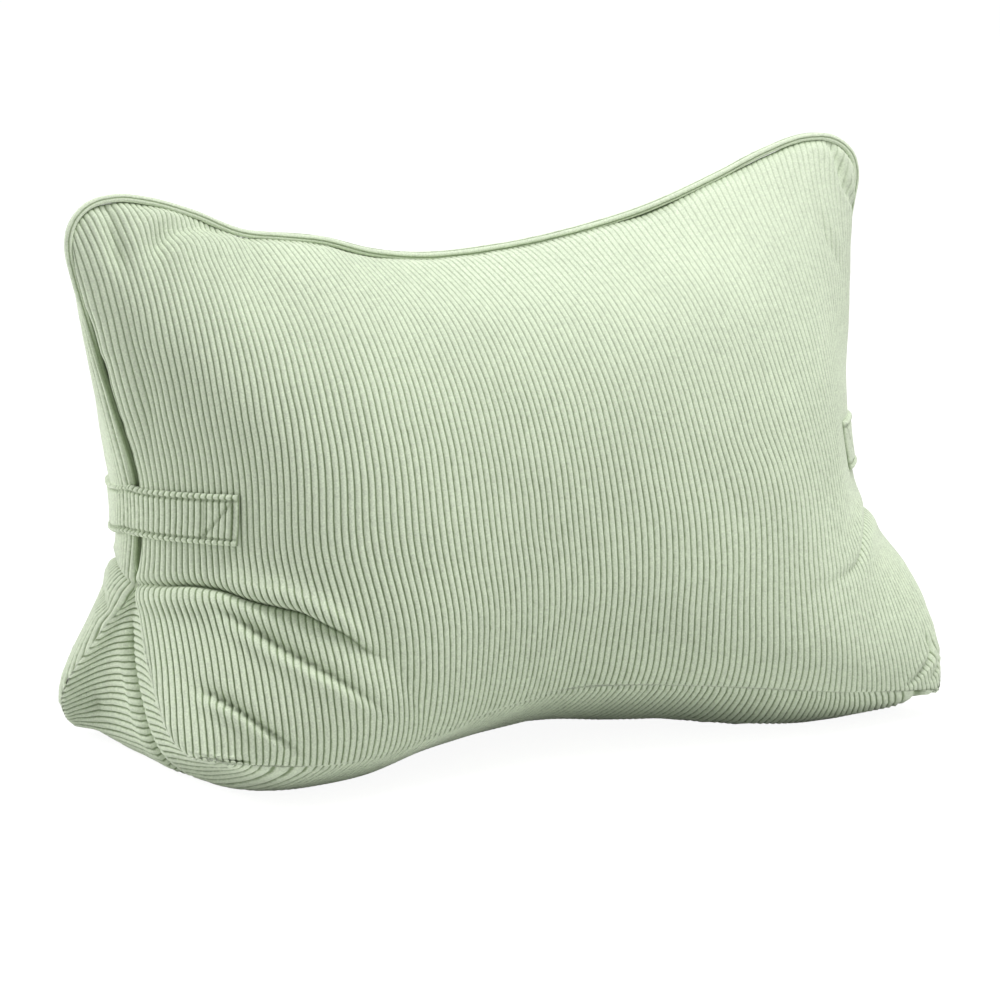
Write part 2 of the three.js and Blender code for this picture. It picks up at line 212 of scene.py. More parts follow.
# Softer folds, each along points (across, level) of a panel. depth is that of the trough and
# width its half width; above and below are the heights of the ridges beside it, all in
# millimetres. start and end are the fold's strength at its two ends.
FRONT_FOLDS = (
    {"points": ((-0.81, 0.302), (-0.76, 0.276), (-0.725, 0.250), (-0.685, 0.220), (-0.64, 0.190),
                (-0.595, 0.156), (-0.54, 0.100)),
     "depth": 6.2, "width": 4.9, "above": 0.6, "below": 3.8, "start": 0.2, "end": 0.1},
    {"points": ((-0.905, 0.190), (-0.865, 0.173), (-0.828, 0.142), (-0.80, 0.10),
                (-0.765, 0.04)),
     "depth": 6.4, "width": 4.6, "above": 0.6, "below": 3.6, "start": 0.1, "end": 0.1},
    {"points": ((-0.53, 0.250), (-0.48, 0.150), (-0.44, 0.03)),
     "depth": 6.0, "width": 20.0, "above": 0.0, "below": 0.0, "start": 0.2, "end": 0.4},
    {"points": ((-0.82, 0.880), (-0.79, 0.92), (-0.757, 0.945), (-0.70, 0.968), (-0.61, 0.990)),
     "depth": 5.6, "width": 7.0, "above": 3.4, "below": 2.0, "start": 0.1, "end": 0.5},
    {"points": ((-0.895, 0.86), (-0.88, 0.92), (-0.865, 0.99)),
     "depth": 3.8, "width": 7.0, "above": 1.6, "below": 1.6, "start": 0.0, "end": 0.8},
    {"points": ((-0.93, 0.55), (-0.90, 0.66), (-0.91, 0.76), (-0.93, 0.84)),
     "depth": 3.0, "width": 9.0, "above": 0.8, "below": 0.8, "start": 0.1, "end": 0.1},
    {"points": ((0.882, 0.995), (0.907, 0.955), (0.933, 0.90), (0.975, 0.875)),
     "depth": 4.6, "width": 5.0, "above": 2.2, "below": 1.2, "start": 0.7, "end": 0.3},
    {"points": ((0.828, 0.87), (0.84, 0.792), (0.893, 0.735)),
     "depth": 2.6, "width": 6.0, "above": 1.2, "below": 0.0, "start": 0.1, "end": 0.1},
    {"points": ((0.905, 0.125), (0.935, 0.09), (0.915, 0.055), (0.875, 0.02)),
     "depth": 4.2, "width": 3.6, "above": 1.2, "below": 1.6, "start": 0.1, "end": 0.3},
    {"points": ((0.965, 0.115), (0.978, 0.075), (0.955, 0.03)),
     "depth": 3.0, "width": 3.4, "above": 1.0, "below": 1.0, "start": 0.1, "end": 0.2},
    {"points": ((-0.985, 0.050), (-0.962, 0.034), (-0.938, 0.026), (-0.91, 0.024)),
     "depth": 7.5, "width": 4.0, "above": 3.6, "below": 0.4, "start": 0.6, "end": 0.3},
)
BACK_FOLDS = (
    {"points": ((0.60, 0.15), (0.70, 0.20), (0.82, 0.225)),
     "depth": 3.5, "width": 6.0, "above": 1.0, "below": 2.0, "start": 0.0, "end": 0.0},
    {"points": ((-0.90, 0.20), (-0.82, 0.14), (-0.78, 0.06)),
     "depth": 3.0, "width": 6.0, "above": 0.0, "below": 2.0, "start": 0.0, "end": 0.1},
    {"points": ((-0.86, 0.94), (-0.76, 0.915), (-0.66, 0.935)),
     "depth": 2.5, "width": 8.0, "above": 1.0, "below": 1.0, "start": 0.2, "end": 0.1},
    {"points": ((0.97, 0.56), (0.88, 0.50), (0.76, 0.49)),
     "depth": 2.8, "width": 7.0, "above": 1.2, "below": 0.8, "start": 0.3, "end": 0.0},
    {"points": ((0.95, 0.27), (0.88, 0.285), (0.82, 0.27)),
     "depth": 3.0, "width": 5.0, "above": 1.0, "below": 1.5, "start": 0.4, "end": 0.0},
    {"points": ((-0.985, 0.292), (-0.93, 0.286), (-0.86, 0.270)),
     "depth": 3.5, "width": 4.0, "above": 1.5, "below": 0.5, "start": 0.2, "end": 0.0},
)
STRIP_FOLDS = (
    {"points": ((58, 0.68), (77, 0.63), (95, 0.64), (116, 0.70)),
     "depth": 3.5, "width": 4.0, "above": 1.5, "below": 0.8, "start": 0.0, "end": 0.3},
    {"points": ((100, -0.995), (107, -0.975), (114, -0.945), (121, -0.92)),
     "depth": 7.0, "width": 3.6, "above": 1.2, "below": 2.0, "start": 0.7, "end": 0.1},
    {"points": ((700, -0.60), (720, -0.52), (745, -0.50)),
     "depth": 3.0, "width": 5.0, "above": 1.0, "below": 0.5, "start": 0.1, "end": 0.1},
)


def column(table, names, name):
    """One named column of a table."""
    return table[:, names.index(name)]


def smooth(xs, ys, x, ends=None):
    """Smooth curve through (xs, ys) at x; ends = (weight, first slope, last slope)."""
    xs, ys, x = (np.asarray(v, float) for v in (xs, ys, x))
    steps = np.diff(xs)
    chords = np.diff(ys) / steps
    slopes = np.empty_like(ys)
    slopes[1:-1] = (chords[:-1] * steps[1:] + chords[1:] * steps[:-1]) / (steps[1:] + steps[:-1])
    slopes[0] = 1.5 * chords[0] - 0.5 * slopes[1]
    slopes[-1] = 1.5 * chords[-1] - 0.5 * slopes[-2]
    if ends is not None:
        weight, first, last = ends
        slopes[0] += (first - slopes[0]) * weight
        slopes[-1] += (last - slopes[-1]) * weight
    i = np.clip(np.searchsorted(xs, x, side="right") - 1, 0, len(xs) - 2)
    h = xs[i + 1] - xs[i]
    u = (x - xs[i]) / h
    value = ys[i] * (1 + 2 * u) * (1 - u) ** 2 + ys[i + 1] * u * u * (3 - 2 * u)
    return value + h * (slopes[i] * u * (1 - u) ** 2 - slopes[i + 1] * u * u * (1 - u))


def length_along(points):
    """Distance travelled at each point of a line."""
    steps = np.linalg.norm(np.diff(points, axis=0), axis=1)
    return np.concatenate([[0.0], np.cumsum(steps)])


def unit(vectors):
    """Vectors made one long."""
    return vectors / np.maximum(np.linalg.norm(vectors, axis=-1, keepdims=True), 1e-12)


def read_line(at, places, points):
    """Points of a line at the given places; places says where its own points are."""
    return np.stack([np.interp(at, places, points[:, k]) for k in range(points.shape[1])], -1)


def read_grid(grid, row, place):
    """Values of a grid at rows and places along them that may lie between its own."""
    a = np.clip(row.astype(int), 0, grid.shape[0] - 2)
    b = np.clip(place.astype(int), 0, grid.shape[1] - 2)
    u, v = (row - a)[..., None], (place - b)[..., None]
    low = grid[a, b] * (1 - v) + grid[a, b + 1] * v
    high = grid[a + 1, b] * (1 - v) + grid[a + 1, b + 1] * v
    return low * (1 - u) + high * u


def bell(distance, width):
    """1 at a distance of 0, falling smoothly to 0 at about twice the width."""
    return np.exp(-(distance / width) ** 2)


FINE = np.linspace(-1.0, 1.0, 1201)


def plain_row(level, facing, across):
    """A level of the cover before the top seam's own line is laid over it."""
    size = {n: float(smooth(LEVELS[:, 0], column(LEVELS, LEVEL_NAMES, n), level))
            for n in LEVEL_NAMES}
    tilt = size["tilt"] if facing == FRONT else 0
    if level >= APEX:
        size["side_y"] = 0.0
    if facing == BACK:
        change = {n: float(np.interp(level, BACK_CHANGE[:, 0], column(BACK_CHANGE, BACK_NAMES, n)))
                  for n in BACK_NAMES}
        for axis in "xyz":
            size["side_" + axis] -= change[axis]
        size["lobe_left"] += change["full"]
        size["lobe_right"] += change["full"]
    stations = (-1, -LOBE, 0, LOBE, 1)
    turn = float(np.clip((level - ROUND_FROM) / (APEX - ROUND_FROM), 0, 1))
    rise = 1 / (1 - LOBE)
    xs = (-size["side_x"], -size["lobe_x"], 0, size["lobe_x"], size["side_x"])
    ys = (size["side_y"], size["lobe_left"], size["mid_y"], size["lobe_right"], size["side_y"])
    zs = (size["side_z"] - tilt, size["lobe_z"], size["mid_z"], size["lobe_z"],
          size["side_z"] + tilt)
    return np.stack([
        smooth(stations, xs, across, (turn, 0, 0)) + size["lean"],
        facing * smooth(stations, ys, across,
                        (turn, size["lobe_left"] * rise, -size["lobe_right"] * rise)),
        smooth(stations, zs, across),
    ], -1)


def top_line(across):
    """The top seam at across -1..1."""
    run = length_along(TOP_SEAM)
    at = (np.asarray(across) + 1) / 2 * run[-1]
    return np.stack([smooth(run, TOP_SEAM[:, 0], at), 0 * at, smooth(run, TOP_SEAM[:, 1], at)], -1)


TOP_CHANGE = top_line(FINE) - plain_row(1.0, FRONT, FINE)


def even_row(level, facing):
    """A level of the cover at FINE, its points spaced evenly along it."""
    points = plain_row(level, facing, FINE) + TOP_CHANGE * level ** TOP_HOLD
    run = length_along(points)
    at = np.interp(FINE, 2 * run / run[-1] - 1, FINE)
    return read_line(at, FINE, points)


def row_length(level):
    """Length of the front panel's row at a level."""
    return length_along(even_row(level, FRONT))[-1]


FULL_WIDTH = row_length(FULL_LEVEL)
PANEL_WIDTH = row_length(APEX)
PANEL_HEIGHT = 390.0   # of a panel's cloth from seam to seam, in millimetres


def cut_share(level):
    """Share of the panel's ribs that are left at a level; the others end on the gusset seam."""
    return min(1.0, row_length(level) / FULL_WIDTH) if level < FULL_LEVEL else 1.0


# ------------------------------------------------------------------ noise, folds and ribs
def soft_noise(x, y, seed):
    """Smooth noise from -1 to 1 over a plane, one bump to each unit."""
    side = 64
    values = np.random.RandomState(seed).uniform(-1, 1, (side, side))
    x, y = np.broadcast_arrays(np.asarray(x, float), np.asarray(y, float))
    i, j = np.floor(x).astype(int), np.floor(y).astype(int)
    u, v = x - i, y - j
    u, v = u * u * (3 - 2 * u), v * v * (3 - 2 * v)
    corner = lambda a, b: values[(i + a) % side, (j + b) % side]
    low = corner(0, 0) * (1 - u) + corner(1, 0) * u
    high = corner(0, 1) * (1 - u) + corner(1, 1) * u
    return low * (1 - v) + high * v


def fold_line(points):
    """A smooth line through a fold's points, and how far along it each point is, 0 to 1."""
    points = np.asarray(points, float)
    run = length_along(points)
    at = np.linspace(0, run[-1], 40)
    line = np.stack([smooth(run, points[:, k], at) for k in range(2)], -1)
    return line, at / run[-1]


FOLD_SHADE = 0.55   # painted shade at the bottom of a deep fold
SHADE_DEPTH = 7     # depth from which a fold or crease is that dark, in millimetres
SHADE_WIDTH = 1.9   # half width of that shade
BROAD_FOLD = 5      # half width from which a fold is too open to have any
FOLD_RIDGE = 1.7    # distance of a fold's ridges from its bottom, in half widths
FOLD_TROUGH, FOLD_SIDE = (1.2, 1.5), 1.1   # how steep a fold's trough is, and its ridges
FOLD_RUN = ((0, 0.25, 0.7, 1), (1, 0.8))   # four places along a fold; its strength at the
                                           # middle two, between those at its start and end


def nearest_on(line, place):
    """For each place: its distance from a line, on which side it is, and how far along."""
    nearest = np.full(place.shape[:-1], 1e9)
    side, along = np.zeros(nearest.shape), np.zeros(nearest.shape)
    for k, step in enumerate(np.diff(line, axis=0)):
        rel = place - line[k]
        u = np.clip(rel @ step / (step @ step), 0, 1)
        off = rel - u[..., None] * step
        gap = np.linalg.norm(off, axis=-1)
        closer = gap < nearest
        nearest = np.where(closer, gap, nearest)
        side = np.where(closer, np.sign(step[0] * off[..., 1] - step[1] * off[..., 0]), side)
        along = np.where(closer, k + u, along)
    return nearest, side, along


def fold_height(x, y, folds, scale):
    """Height and painted shade of all folds at the places (x, y); scale turns those to millimetres.
    """
    place = np.stack(np.broadcast_arrays(x * scale[0], y * scale[1]), -1)
    total, shade = np.zeros(place.shape[:-1]), np.zeros(place.shape[:-1])
    at, full = FOLD_RUN
    for fold in folds:
        line, share = fold_line(np.asarray(fold["points"]) * scale)
        strength = np.interp(share, at, (fold["start"], *full, fold["end"]))
        nearest, side, along = nearest_on(line, place)
        power = np.interp(along, np.arange(len(line)), strength)
        away = nearest / fold["width"]
        ridge = np.where(side > 0, fold["above"], fold["below"])
        total += power * (ridge * np.exp(-((away - FOLD_RIDGE) ** 2) * FOLD_SIDE)
                          - fold["depth"] * np.exp(-away ** FOLD_TROUGH[1] * FOLD_TROUGH[0]))
        if fold["width"] < BROAD_FOLD:
            dark = FOLD_SHADE * power * np.clip(fold["depth"] / SHADE_DEPTH, 0, 1)
            shade = np.maximum(shade, dark * bell(nearest, SHADE_WIDTH))
    return total, shade


CREASE_WIDTH = 2.6      # half width of a crease's trough, in millimetres
CREASE_SCALLOP = 1.8    # how far a rib reaches into a crease past its grooves
CREASE_SHADE = (0.75, 1.7)   # painted shade at its bottom, and the half width of that shade
CREASE_BROW = (7.0, 6.5, 3.0, 4.0)     # bulge above it: place, half width; where it hangs over
CREASE_SWELL = (-9.0, 8.0, -3.5, 4.0)  # the same below it
CREASE_SLIDE = (-0.75, 0.45)   # how far the bulges above and below it slide over it, as shares
SLIDE_DEPTH = 4         # depth from which they slide that far
RIB_STEPS = (0.0, 0.17, 0.5, 0.83)   # places of a rib's columns; the groove is at 0
RIB_SHAPE = 2.3                      # power of the rib's round back


def crease_height(gap, depth, above, below, fall):
    """Height beside a sharp crease; gap is the distance above it, below it when negative."""
    reach = np.where(gap > 0, CREASE_WIDTH, fall)
    trough = -depth * np.exp(-(np.abs(gap) / reach) ** 1.2)
    brow = above * bell(gap - CREASE_BROW[0], CREASE_BROW[1])
    swell = below * bell(gap - CREASE_SWELL[0], CREASE_SWELL[1])
    return trough + brow + swell


def crease_shade(gap, depth):
    """Painted shade at the bottom of a crease."""
    dark, width = CREASE_SHADE
    return dark * np.clip(depth / SHADE_DEPTH, 0, 1) * bell(gap, width)


def crease_slide(gap, depth, above, below):
    """How far cloth beside a crease hangs over it: down above the crease, up below it."""
    over = CREASE_SLIDE[0] * above * bell(gap - CREASE_BROW[2], CREASE_BROW[3])
    under = CREASE_SLIDE[1] * below * bell(gap - CREASE_SWELL[2], CREASE_SWELL[3])
    return (over + under) * np.clip(depth / SLIDE_DEPTH, 0, 1)


def rib_columns(ribs):
    """Rib coordinates of a panel's columns: whole numbers are grooves."""
    columns = (np.arange(ribs)[:, None] + np.array(RIB_STEPS)).ravel()
    return np.append(columns, ribs)


def rib_height(coordinate):
    """Height of the rib's back above its groove, 0 to 1."""
    off = np.abs(2 * (coordinate - np.floor(coordinate)) - 1)
    return 1 - off ** RIB_SHAPE


def spaced(count, low, high, density):
    """Values from low to high, closer together where density(value) is larger."""
    fine = np.linspace(low, high, 2000)
    total = np.concatenate([[0], np.cumsum(density((fine[1:] + fine[:-1]) / 2))])
    return np.interp(np.linspace(0, total[-1], count), total, fine)


# ------------------------------------------------------------------ closed meshes
class Shell:
    """Points, cord values and faces of one mesh while it is put together.

    The cord values of a point are its place across the ribs (whole numbers are grooves), how
    dark the grooves are painted there, and how much painted shade lies over it in seams, creases
    and folds: at 1 it has the groove's colour all over, and more is painted darker still.
    """

    def __init__(self):
        self.points, self.cord, self.faces, self.count = [], [], [], 0

    def add(self, points, cord):
        """Adds points with their cord values and returns their numbers."""
        shape = points.shape[:-1]
        size = int(np.prod(shape))
        self.points.append(points.reshape(-1, 3))
        self.cord.append(cord.reshape(-1, 3))
        numbers = np.arange(self.count, self.count + size).reshape(shape)
        self.count += size
        return numbers

    def grid(self, numbers):
        """Faces of a grid; where neighbours are the same point, a face loses that corner."""
        quads = np.stack([numbers[:-1, :-1], numbers[:-1, 1:], numbers[1:, 1:],
                          numbers[1:, :-1]], -1).reshape(-1, 4)
        same = (quads == np.roll(quads, 1, axis=1)).any(axis=1)
        self.faces += quads[~same].tolist()
        for quad in quads[same].tolist():
            self.face(quad)

    def face(self, corners):
        """One face, without corners that come twice."""
        kept = list(dict.fromkeys(corners))
        if len(kept) > 2:
            self.faces.append(kept)

    def sew(self, first, second):
        """A narrow band of triangles between two lines of points that run side by side."""
        points = np.concatenate(self.points)
        runs = [length_along(points[line]) for line in (first, second)]
        a, b = (run / run[-1] for run in runs)
        i = j = 0
        while i < len(first) - 1 or j < len(second) - 1:
            ahead = j == len(second) - 1 or (i < len(first) - 1 and a[i + 1] <= b[j + 1])
            if ahead:
                self.face([first[i], first[i + 1], second[j]])
                i += 1
            else:
                self.face([first[i], second[j + 1], second[j]])
                j += 1

    def make(self, name, material):
        """The mesh as an object in metres, its normals outward."""
        points, cord = np.concatenate(self.points) * MM, np.concatenate(self.cord)
        used = np.unique(np.concatenate([np.asarray(face) for face in self.faces]))
        number = np.full(len(points), -1)
        number[used] = np.arange(len(used))
        faces = [[int(number[corner]) for corner in face] for face in self.faces]
        mesh = bpy.data.meshes.new(name)
        mesh.from_pydata(points[used].tolist(), [], faces)
        attribute = mesh.attributes.new("cord", "FLOAT_VECTOR", "POINT")
        attribute.data.foreach_set("vector", cord[used].astype(np.float32).ravel())
        tidy = bmesh.new()
        tidy.from_mesh(mesh)
        bmesh.ops.recalc_face_normals(tidy, faces=tidy.faces)
        tidy.to_mesh(mesh)
        tidy.free()
        mesh.shade_smooth()
        mesh.materials.append(material)
        piece = bpy.data.objects.new(name, mesh)
        bpy.context.scene.collection.objects.link(piece)
        return piece


def cord_values(*values):
    """The three cord values of every point of a grid."""
    return np.stack(np.broadcast_arrays(*values), -1).astype(float)


def seam_place():
    """Where the tables' own zero stands in the frame, in millimetres, read from the piping."""
    low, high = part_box("piping")
    return np.array([(low.x + high.x) / 2, (low.y + high.y) / 2, 0.0]) / MM


PLACE = seam_place()


# ------------------------------------------------------------------ the panels
EDGE = 0.0016         # share of a panel left free at its edges for the seam itself
SHEET_LEVELS = np.linspace(0, 1, 391)
EVEN_REACH = 50       # rows of a sheet over which its form is evened out
EVEN_MARGIN = 30.0    # distance from the side seams at which that is in force, in millimetres

# how the cloth lies beside the seams, in millimetres
SIDE_VALLEY = 6.5         # depth of the valley between the front and the piping at the sides
TOP_VALLEY = 1.2          # depth of the one beside the piping at the top
VALLEY_PLACE = (3.6, 3.3)     # distance of a valley's bottom from the seam, and its half width
SWELL_RISE, SWELL_FADE = 5.0, 42.0   # distances over which the swelling rises and fades
SWELL_KEPT = 0.25         # share of the swelling that stays further in
SWELL_FROM = (0.03, 0.09)  # levels below the apex where the swelling begins, and its rise
TOP_SWELL = 0.7           # share of the swelling that there is beside the top seam
TOP_NEAR = 8              # distance over which the side's form passes into the top's
ROLL_HEIGHT, ROLL_REACH = 2.6, 14.0   # how the cloth rolls over at an unpiped side seam
ROLL_EDGE, ROLL_FOOT = 1.6, 25   # how close to that seam it turns in; where it is in full
SEAM_DIP, DIP_REACH = 1.2, 2.5   # how far the foot seam pulls the cloth in, and its reach
PUCKER_SIZES = ((8.0, 40), (4.2, 30))   # length and reach of a broad pucker and of a fine one
FINE_PUCKER = 0.4         # height of the fine ones beside the broad ones
PUCKER_FADE, PUCKER_RISE = 12, 2.5    # distances over which puckers fade, and rise at the seam
FLAT_SHARE, FLAT_REACH = 0.8, 1.2     # how far a seam presses the ribs flat, and its reach
PIPED_FADE = 0.05         # levels above the apex over which the piping's effect sets in
FULL_SIDE = (0.58, 0.14)  # level at which the panels are fullest at their sides, and reach
SQUEEZED = (0.80, 0.14)   # level at which the left side is squeezed into puckers, and reach
PANEL_SEED = {FRONT: 11, BACK: 12}   # seeds of the panels' unevenness


def evened(rows, reach):
    """Rows of values without sudden changes from one to the next; the end rows stay."""
    padded = np.concatenate([2 * rows[:1] - rows[reach:0:-1], rows,
                             2 * rows[-1:] - rows[-2:-reach - 2:-1]])
    weights = np.hanning(2 * reach + 3)[1:-1]
    soft = sum(w * padded[k:k + len(rows)] for k, w in enumerate(weights))
    return soft / weights.sum()


CUT_SHARES = [cut_share(level) for level in SHEET_LEVELS]
CUT_SHARES = np.minimum(evened(np.array(CUT_SHARES), EVEN_REACH), 1)


def panel_density(row):
    """How close together a panel's rows are: closer at its seams, its crease, foot and top."""
    seams = 6 * (np.exp(-row / 0.012) + np.exp(-(1 - row) / 0.012))
    return 1 + 1.0 * (row < 0.32) + 0.4 * (row > 0.85) + seams + 4.5 * bell(row - CREASE_ROW, 0.02)


def panel_rows(count):
    """Shares of a panel's rows."""
    return spaced(count, EDGE, 1 - EDGE, panel_density)


def plain_sheet(facing):
    """A panel's plain form on a fine grid: points, outward normals and the ribs' own way up."""
    points = np.array([even_row(level, facing) for level in SHEET_LEVELS])[:, ::2]
    from_side = (1 - np.abs(FINE[::2])) * PANEL_WIDTH / 2
    inside = 1 - bell(from_side, EVEN_MARGIN)
    points += (evened(points, EVEN_REACH) - points) * inside[None, :, None]
    along, up = np.gradient(points, axis=1), np.gradient(points, axis=0)
    return points, unit(np.cross(along, up)) * -facing, unit(along), unit(up)


def read_sheet(grid, across, level):
    """Values of a fine grid at (across, level)."""
    rows, columns = grid.shape[:2]
    return read_grid(grid, level * (rows - 1), (across + 1) / 2 * (columns - 1))


def piped_swell(gap, size):
    """Height of the filling beside the piped seam: it bulges over the piping and sinks back."""
    risen = 1 - np.exp(-gap / SWELL_RISE)
    return size * risen * (SWELL_KEPT + (1 - SWELL_KEPT) * np.exp(-gap / SWELL_FADE))


def piped_dip(gap, size):
    """Height beside the piped seam where the cloth dives in to it."""
    return -size * bell(gap - VALLEY_PLACE[0], VALLEY_PLACE[1])


def piped_share(level):
    """How much of the piping there is beside a level: none below the apex."""
    return np.clip((level - APEX) / PIPED_FADE, 0, 1)


def side_share(level):
    """How much of the side seam's valley there is at a level: none at the apex or the top."""
    return piped_share(level) * np.clip((0.93 - level) / 0.3, 0, 1)


def rib_relief(across, level):
    """How deep the grooves are, as a share, and how dark they are painted in shade: flatter and
    lighter towards the top and the right, where the light falls full on them.
    """
    risen = np.clip((level - 0.30) / 0.55, 0, 1)
    return (1.28 - 0.6 * risen ** 1.3 - 0.42 * np.clip(across + 0.1, 0, 0.8)
            + 0.2 * np.clip(-across - 0.3, 0, 0.5))


def side_fullness(level, facing):
    """How much fuller than beside the top seam a panel is beside its side seam."""
    return 1 + (1.3 if facing == BACK else 0.35) * bell(level - FULL_SIDE[0], FULL_SIDE[1])


def seam_height(across, level, facing, sizes):
    """How the seams shape a panel: swollen beside the piping, rolled over at gusset and foot."""
    side = (1 - np.abs(across)) * PANEL_WIDTH / 2
    top = (1 - level) * PANEL_HEIGHT
    foot = level * PANEL_HEIGHT
    swell = sizes.side_swell / MM
    piped = np.clip((level - APEX + SWELL_FROM[0]) / SWELL_FROM[1], 0, 1)
    rolled = ROLL_HEIGHT * side / ROLL_REACH * np.exp(1 - side / ROLL_REACH)
    rolled -= np.exp(-side / ROLL_EDGE)
    at_side = piped_swell(side, swell * side_fullness(level, facing))
    if facing == FRONT:
        at_side += piped_dip(side, SIDE_VALLEY * side_share(level))
    at_side = at_side * piped + rolled * (1 - piped) * np.clip(foot / ROLL_FOOT, 0, 1)
    at_top = piped_swell(top, TOP_SWELL * swell) + piped_dip(top, TOP_VALLEY)
    near = 1 / (1 + np.exp((side - top) / TOP_NEAR))
    return at_side * near + at_top * (1 - near) - SEAM_DIP * np.exp(-foot / DIP_REACH)


def seam_pucker(gap, run, seed):
    """Small puckers where a seam gathers the cloth."""
    broad, fine = (soft_noise(run / length, gap / reach, seed + k)
                   for k, (length, reach) in enumerate(PUCKER_SIZES))
    ripple = broad + FINE_PUCKER * fine
    return ripple * np.exp(-gap / PUCKER_FADE) * (1 - np.exp(-gap / PUCKER_RISE))


def seam_ended(gap):
    """How much of the ribs is left at a distance from a seam: they are pressed flat in it."""
    return 1 - FLAT_SHARE * np.exp(-gap / FLAT_REACH)


def seam_shade(level, from_side, from_top, facing):
    """Painted shade in the valleys beside the piping, at the sides and along the top."""
    steep = side_share(level) * (facing == FRONT)
    dark = piped_share(level) * ((1.0 if facing == FRONT else 0.6) + 0.9 * steep)
    at_side = dark * np.exp(-(from_side / (3 + 5.5 * steep)) ** 4)
    return np.maximum(at_side, 0.85 * bell(from_top, 2.2))


def crease_sizes(place, crease, names):
    """Depth, bulge above and below, and width below of a crease at places along it."""
    return (np.interp(place, crease[:, 0], column(crease, names, name))
            for name in ("depth", "above", "below", "fall"))


def panel_surface(sizes, rows, crease):
    """Where a panel's points lie: across, level, distance above the crease, rib and trim."""
    ribs = round(PANEL_WIDTH * MM / sizes.rib_pitch)
    rib = rib_columns(ribs)
    share = (2 * rib / ribs - 1)[None]
    row = panel_rows(rows)[:, None]
    shift = smooth(crease[:, 0], crease[:, 1], share) - CREASE_ROW
    below, above = row / CREASE_ROW, (CREASE_REACH - row) / (CREASE_REACH - CREASE_ROW)
    hold = np.clip(np.minimum(below, above), 0, 1)
    level = np.clip(row + np.maximum(shift, LOWEST_ROW - CREASE_ROW) * hold, EDGE, 1 - EDGE)
    level = np.maximum(level, EDGE + 0.1 * (row - row[0]))
    cut = np.interp(level, SHEET_LEVELS, CUT_SHARES)
    limit = 1 - EDGE
    across = np.clip(share * limit / cut, -limit, limit)
    first = [np.nonzero(line <= -limit)[0][-1] for line in across]
    last = [np.nonzero(line >= limit)[0][0] for line in across]
    gap = (level - CREASE_ROW - shift) * PANEL_HEIGHT
    return across, level, gap, np.broadcast_to(rib, across.shape), (first, last), ribs


def panel_height(place, facing, sizes, crease, folds):
    """Height of a panel's cloth over its plain form, and its painted shade."""
    across, level, gap, rib, share = place
    depth, brow, swell, fall = crease_sizes(share, crease, CREASE_NAMES)
    scale = np.array([PANEL_WIDTH / 2, PANEL_HEIGHT])
    from_side, from_top = (1 - np.abs(across)) * scale[0], (1 - level) * scale[1]
    from_edge, run = np.minimum(from_side, from_top), level * PANEL_HEIGHT
    seed = PANEL_SEED[facing]
    height = seam_height(across, level, facing, sizes)
    scalloped = gap + CREASE_SCALLOP * (rib_height(rib) - 0.5) * np.clip(depth / 6, 0, 1)
    height += crease_height(scalloped, depth, brow, swell, fall)
    folded, fold_shade = fold_height(across, level, folds, scale)
    height += folded * (1 - bell(from_edge, 4))
    height += sizes.sag / MM * soft_noise(across * 7, level * 8, seed)
    squeezed = bell(level - SQUEEZED[0], SQUEEZED[1]) * (across < 0) * (facing == FRONT)
    pucker = sizes.pucker / MM * (1 + 1.1 * squeezed)
    height += pucker * seam_pucker(from_side, run, seed + 20)
    height += 0.6 * pucker * seam_pucker(from_top, across * scale[0], seed + 30)
    pinched = 1 - 0.75 * bell(gap, 1.8) * np.clip(depth / 5, 0, 1)
    relief = rib_relief(across, level) * pinched * seam_ended(np.minimum(from_edge, run))
    height += sizes.rib_height / MM * rib_height(rib) * relief
    shade = np.maximum(seam_shade(level, from_side, from_top, facing),
                       np.maximum(crease_shade(scalloped, depth), fold_shade))
    return height, shade


def shape_panel(shell, facing, sizes, rows, crease, folds):
    """Adds the front or back panel to a shell and returns its numbering."""
    across, level, gap, rib, trim, ribs = panel_surface(sizes, rows, crease)
    points, normals, sideways, upward = (read_sheet(grid, across, level)
                                         for grid in plain_sheet(facing))
    share = 2 * rib / ribs - 1
    place = (across, level, gap, rib, share)
    height, shade = panel_height(place, facing, sizes, crease, folds)
    depth, brow, swell, _ = crease_sizes(share, crease, CREASE_NAMES)
    slide = crease_slide(gap, depth, brow, swell)
    from_side = (1 - np.abs(across)) * PANEL_WIDTH / 2
    wander = soft_noise(rib / 5, level * PANEL_HEIGHT / 24, PANEL_SEED[facing] + 5)
    wander *= sizes.rib_wander / MM * (1 + 1.5 * np.exp(-from_side / 25))
    wander *= np.clip(from_side / 6, 0, 1)
    points = points + unit(normals) * height[..., None] + unit(sideways) * wander[..., None]
    points = points + upward * slide[..., None] + PLACE
    points[..., 2] = np.maximum(points[..., 2], 0)
    # cord values: the grooves' painted shade follows rib_relief; then the painted shade of seams,
    # creases and folds
    numbers = shell.add(points, cord_values(rib, rib_relief(across, level), shade))
    columns = np.arange(points.shape[1])[None]
    kept = np.clip(columns, np.array(trim[0])[:, None], np.array(trim[1])[:, None])
    numbers = np.take_along_axis(numbers, kept, axis=1)
    shell.grid(numbers)
    return numbers


def strip_edge(facing):
    """The seam of the strip with a panel: its points, and the share of the strip at each."""
    side_levels = np.linspace(APEX, 0, 160)
    rows = [even_row(level, facing) for level in side_levels]
    left = np.array([row[0] for row in rows])
    right = np.array([row[-1] for row in rows])[::-1]
    base = even_row(0.0, facing)
    half = GUSSET_SHARE / 2
    shares = np.concatenate([np.linspace(0, half, 160)[:-1], np.linspace(half, 1 - half, 1201),
                             np.linspace(1 - half, 1, 160)[1:]])
    return np.concatenate([left[:-1], base, right[1:]]), shares


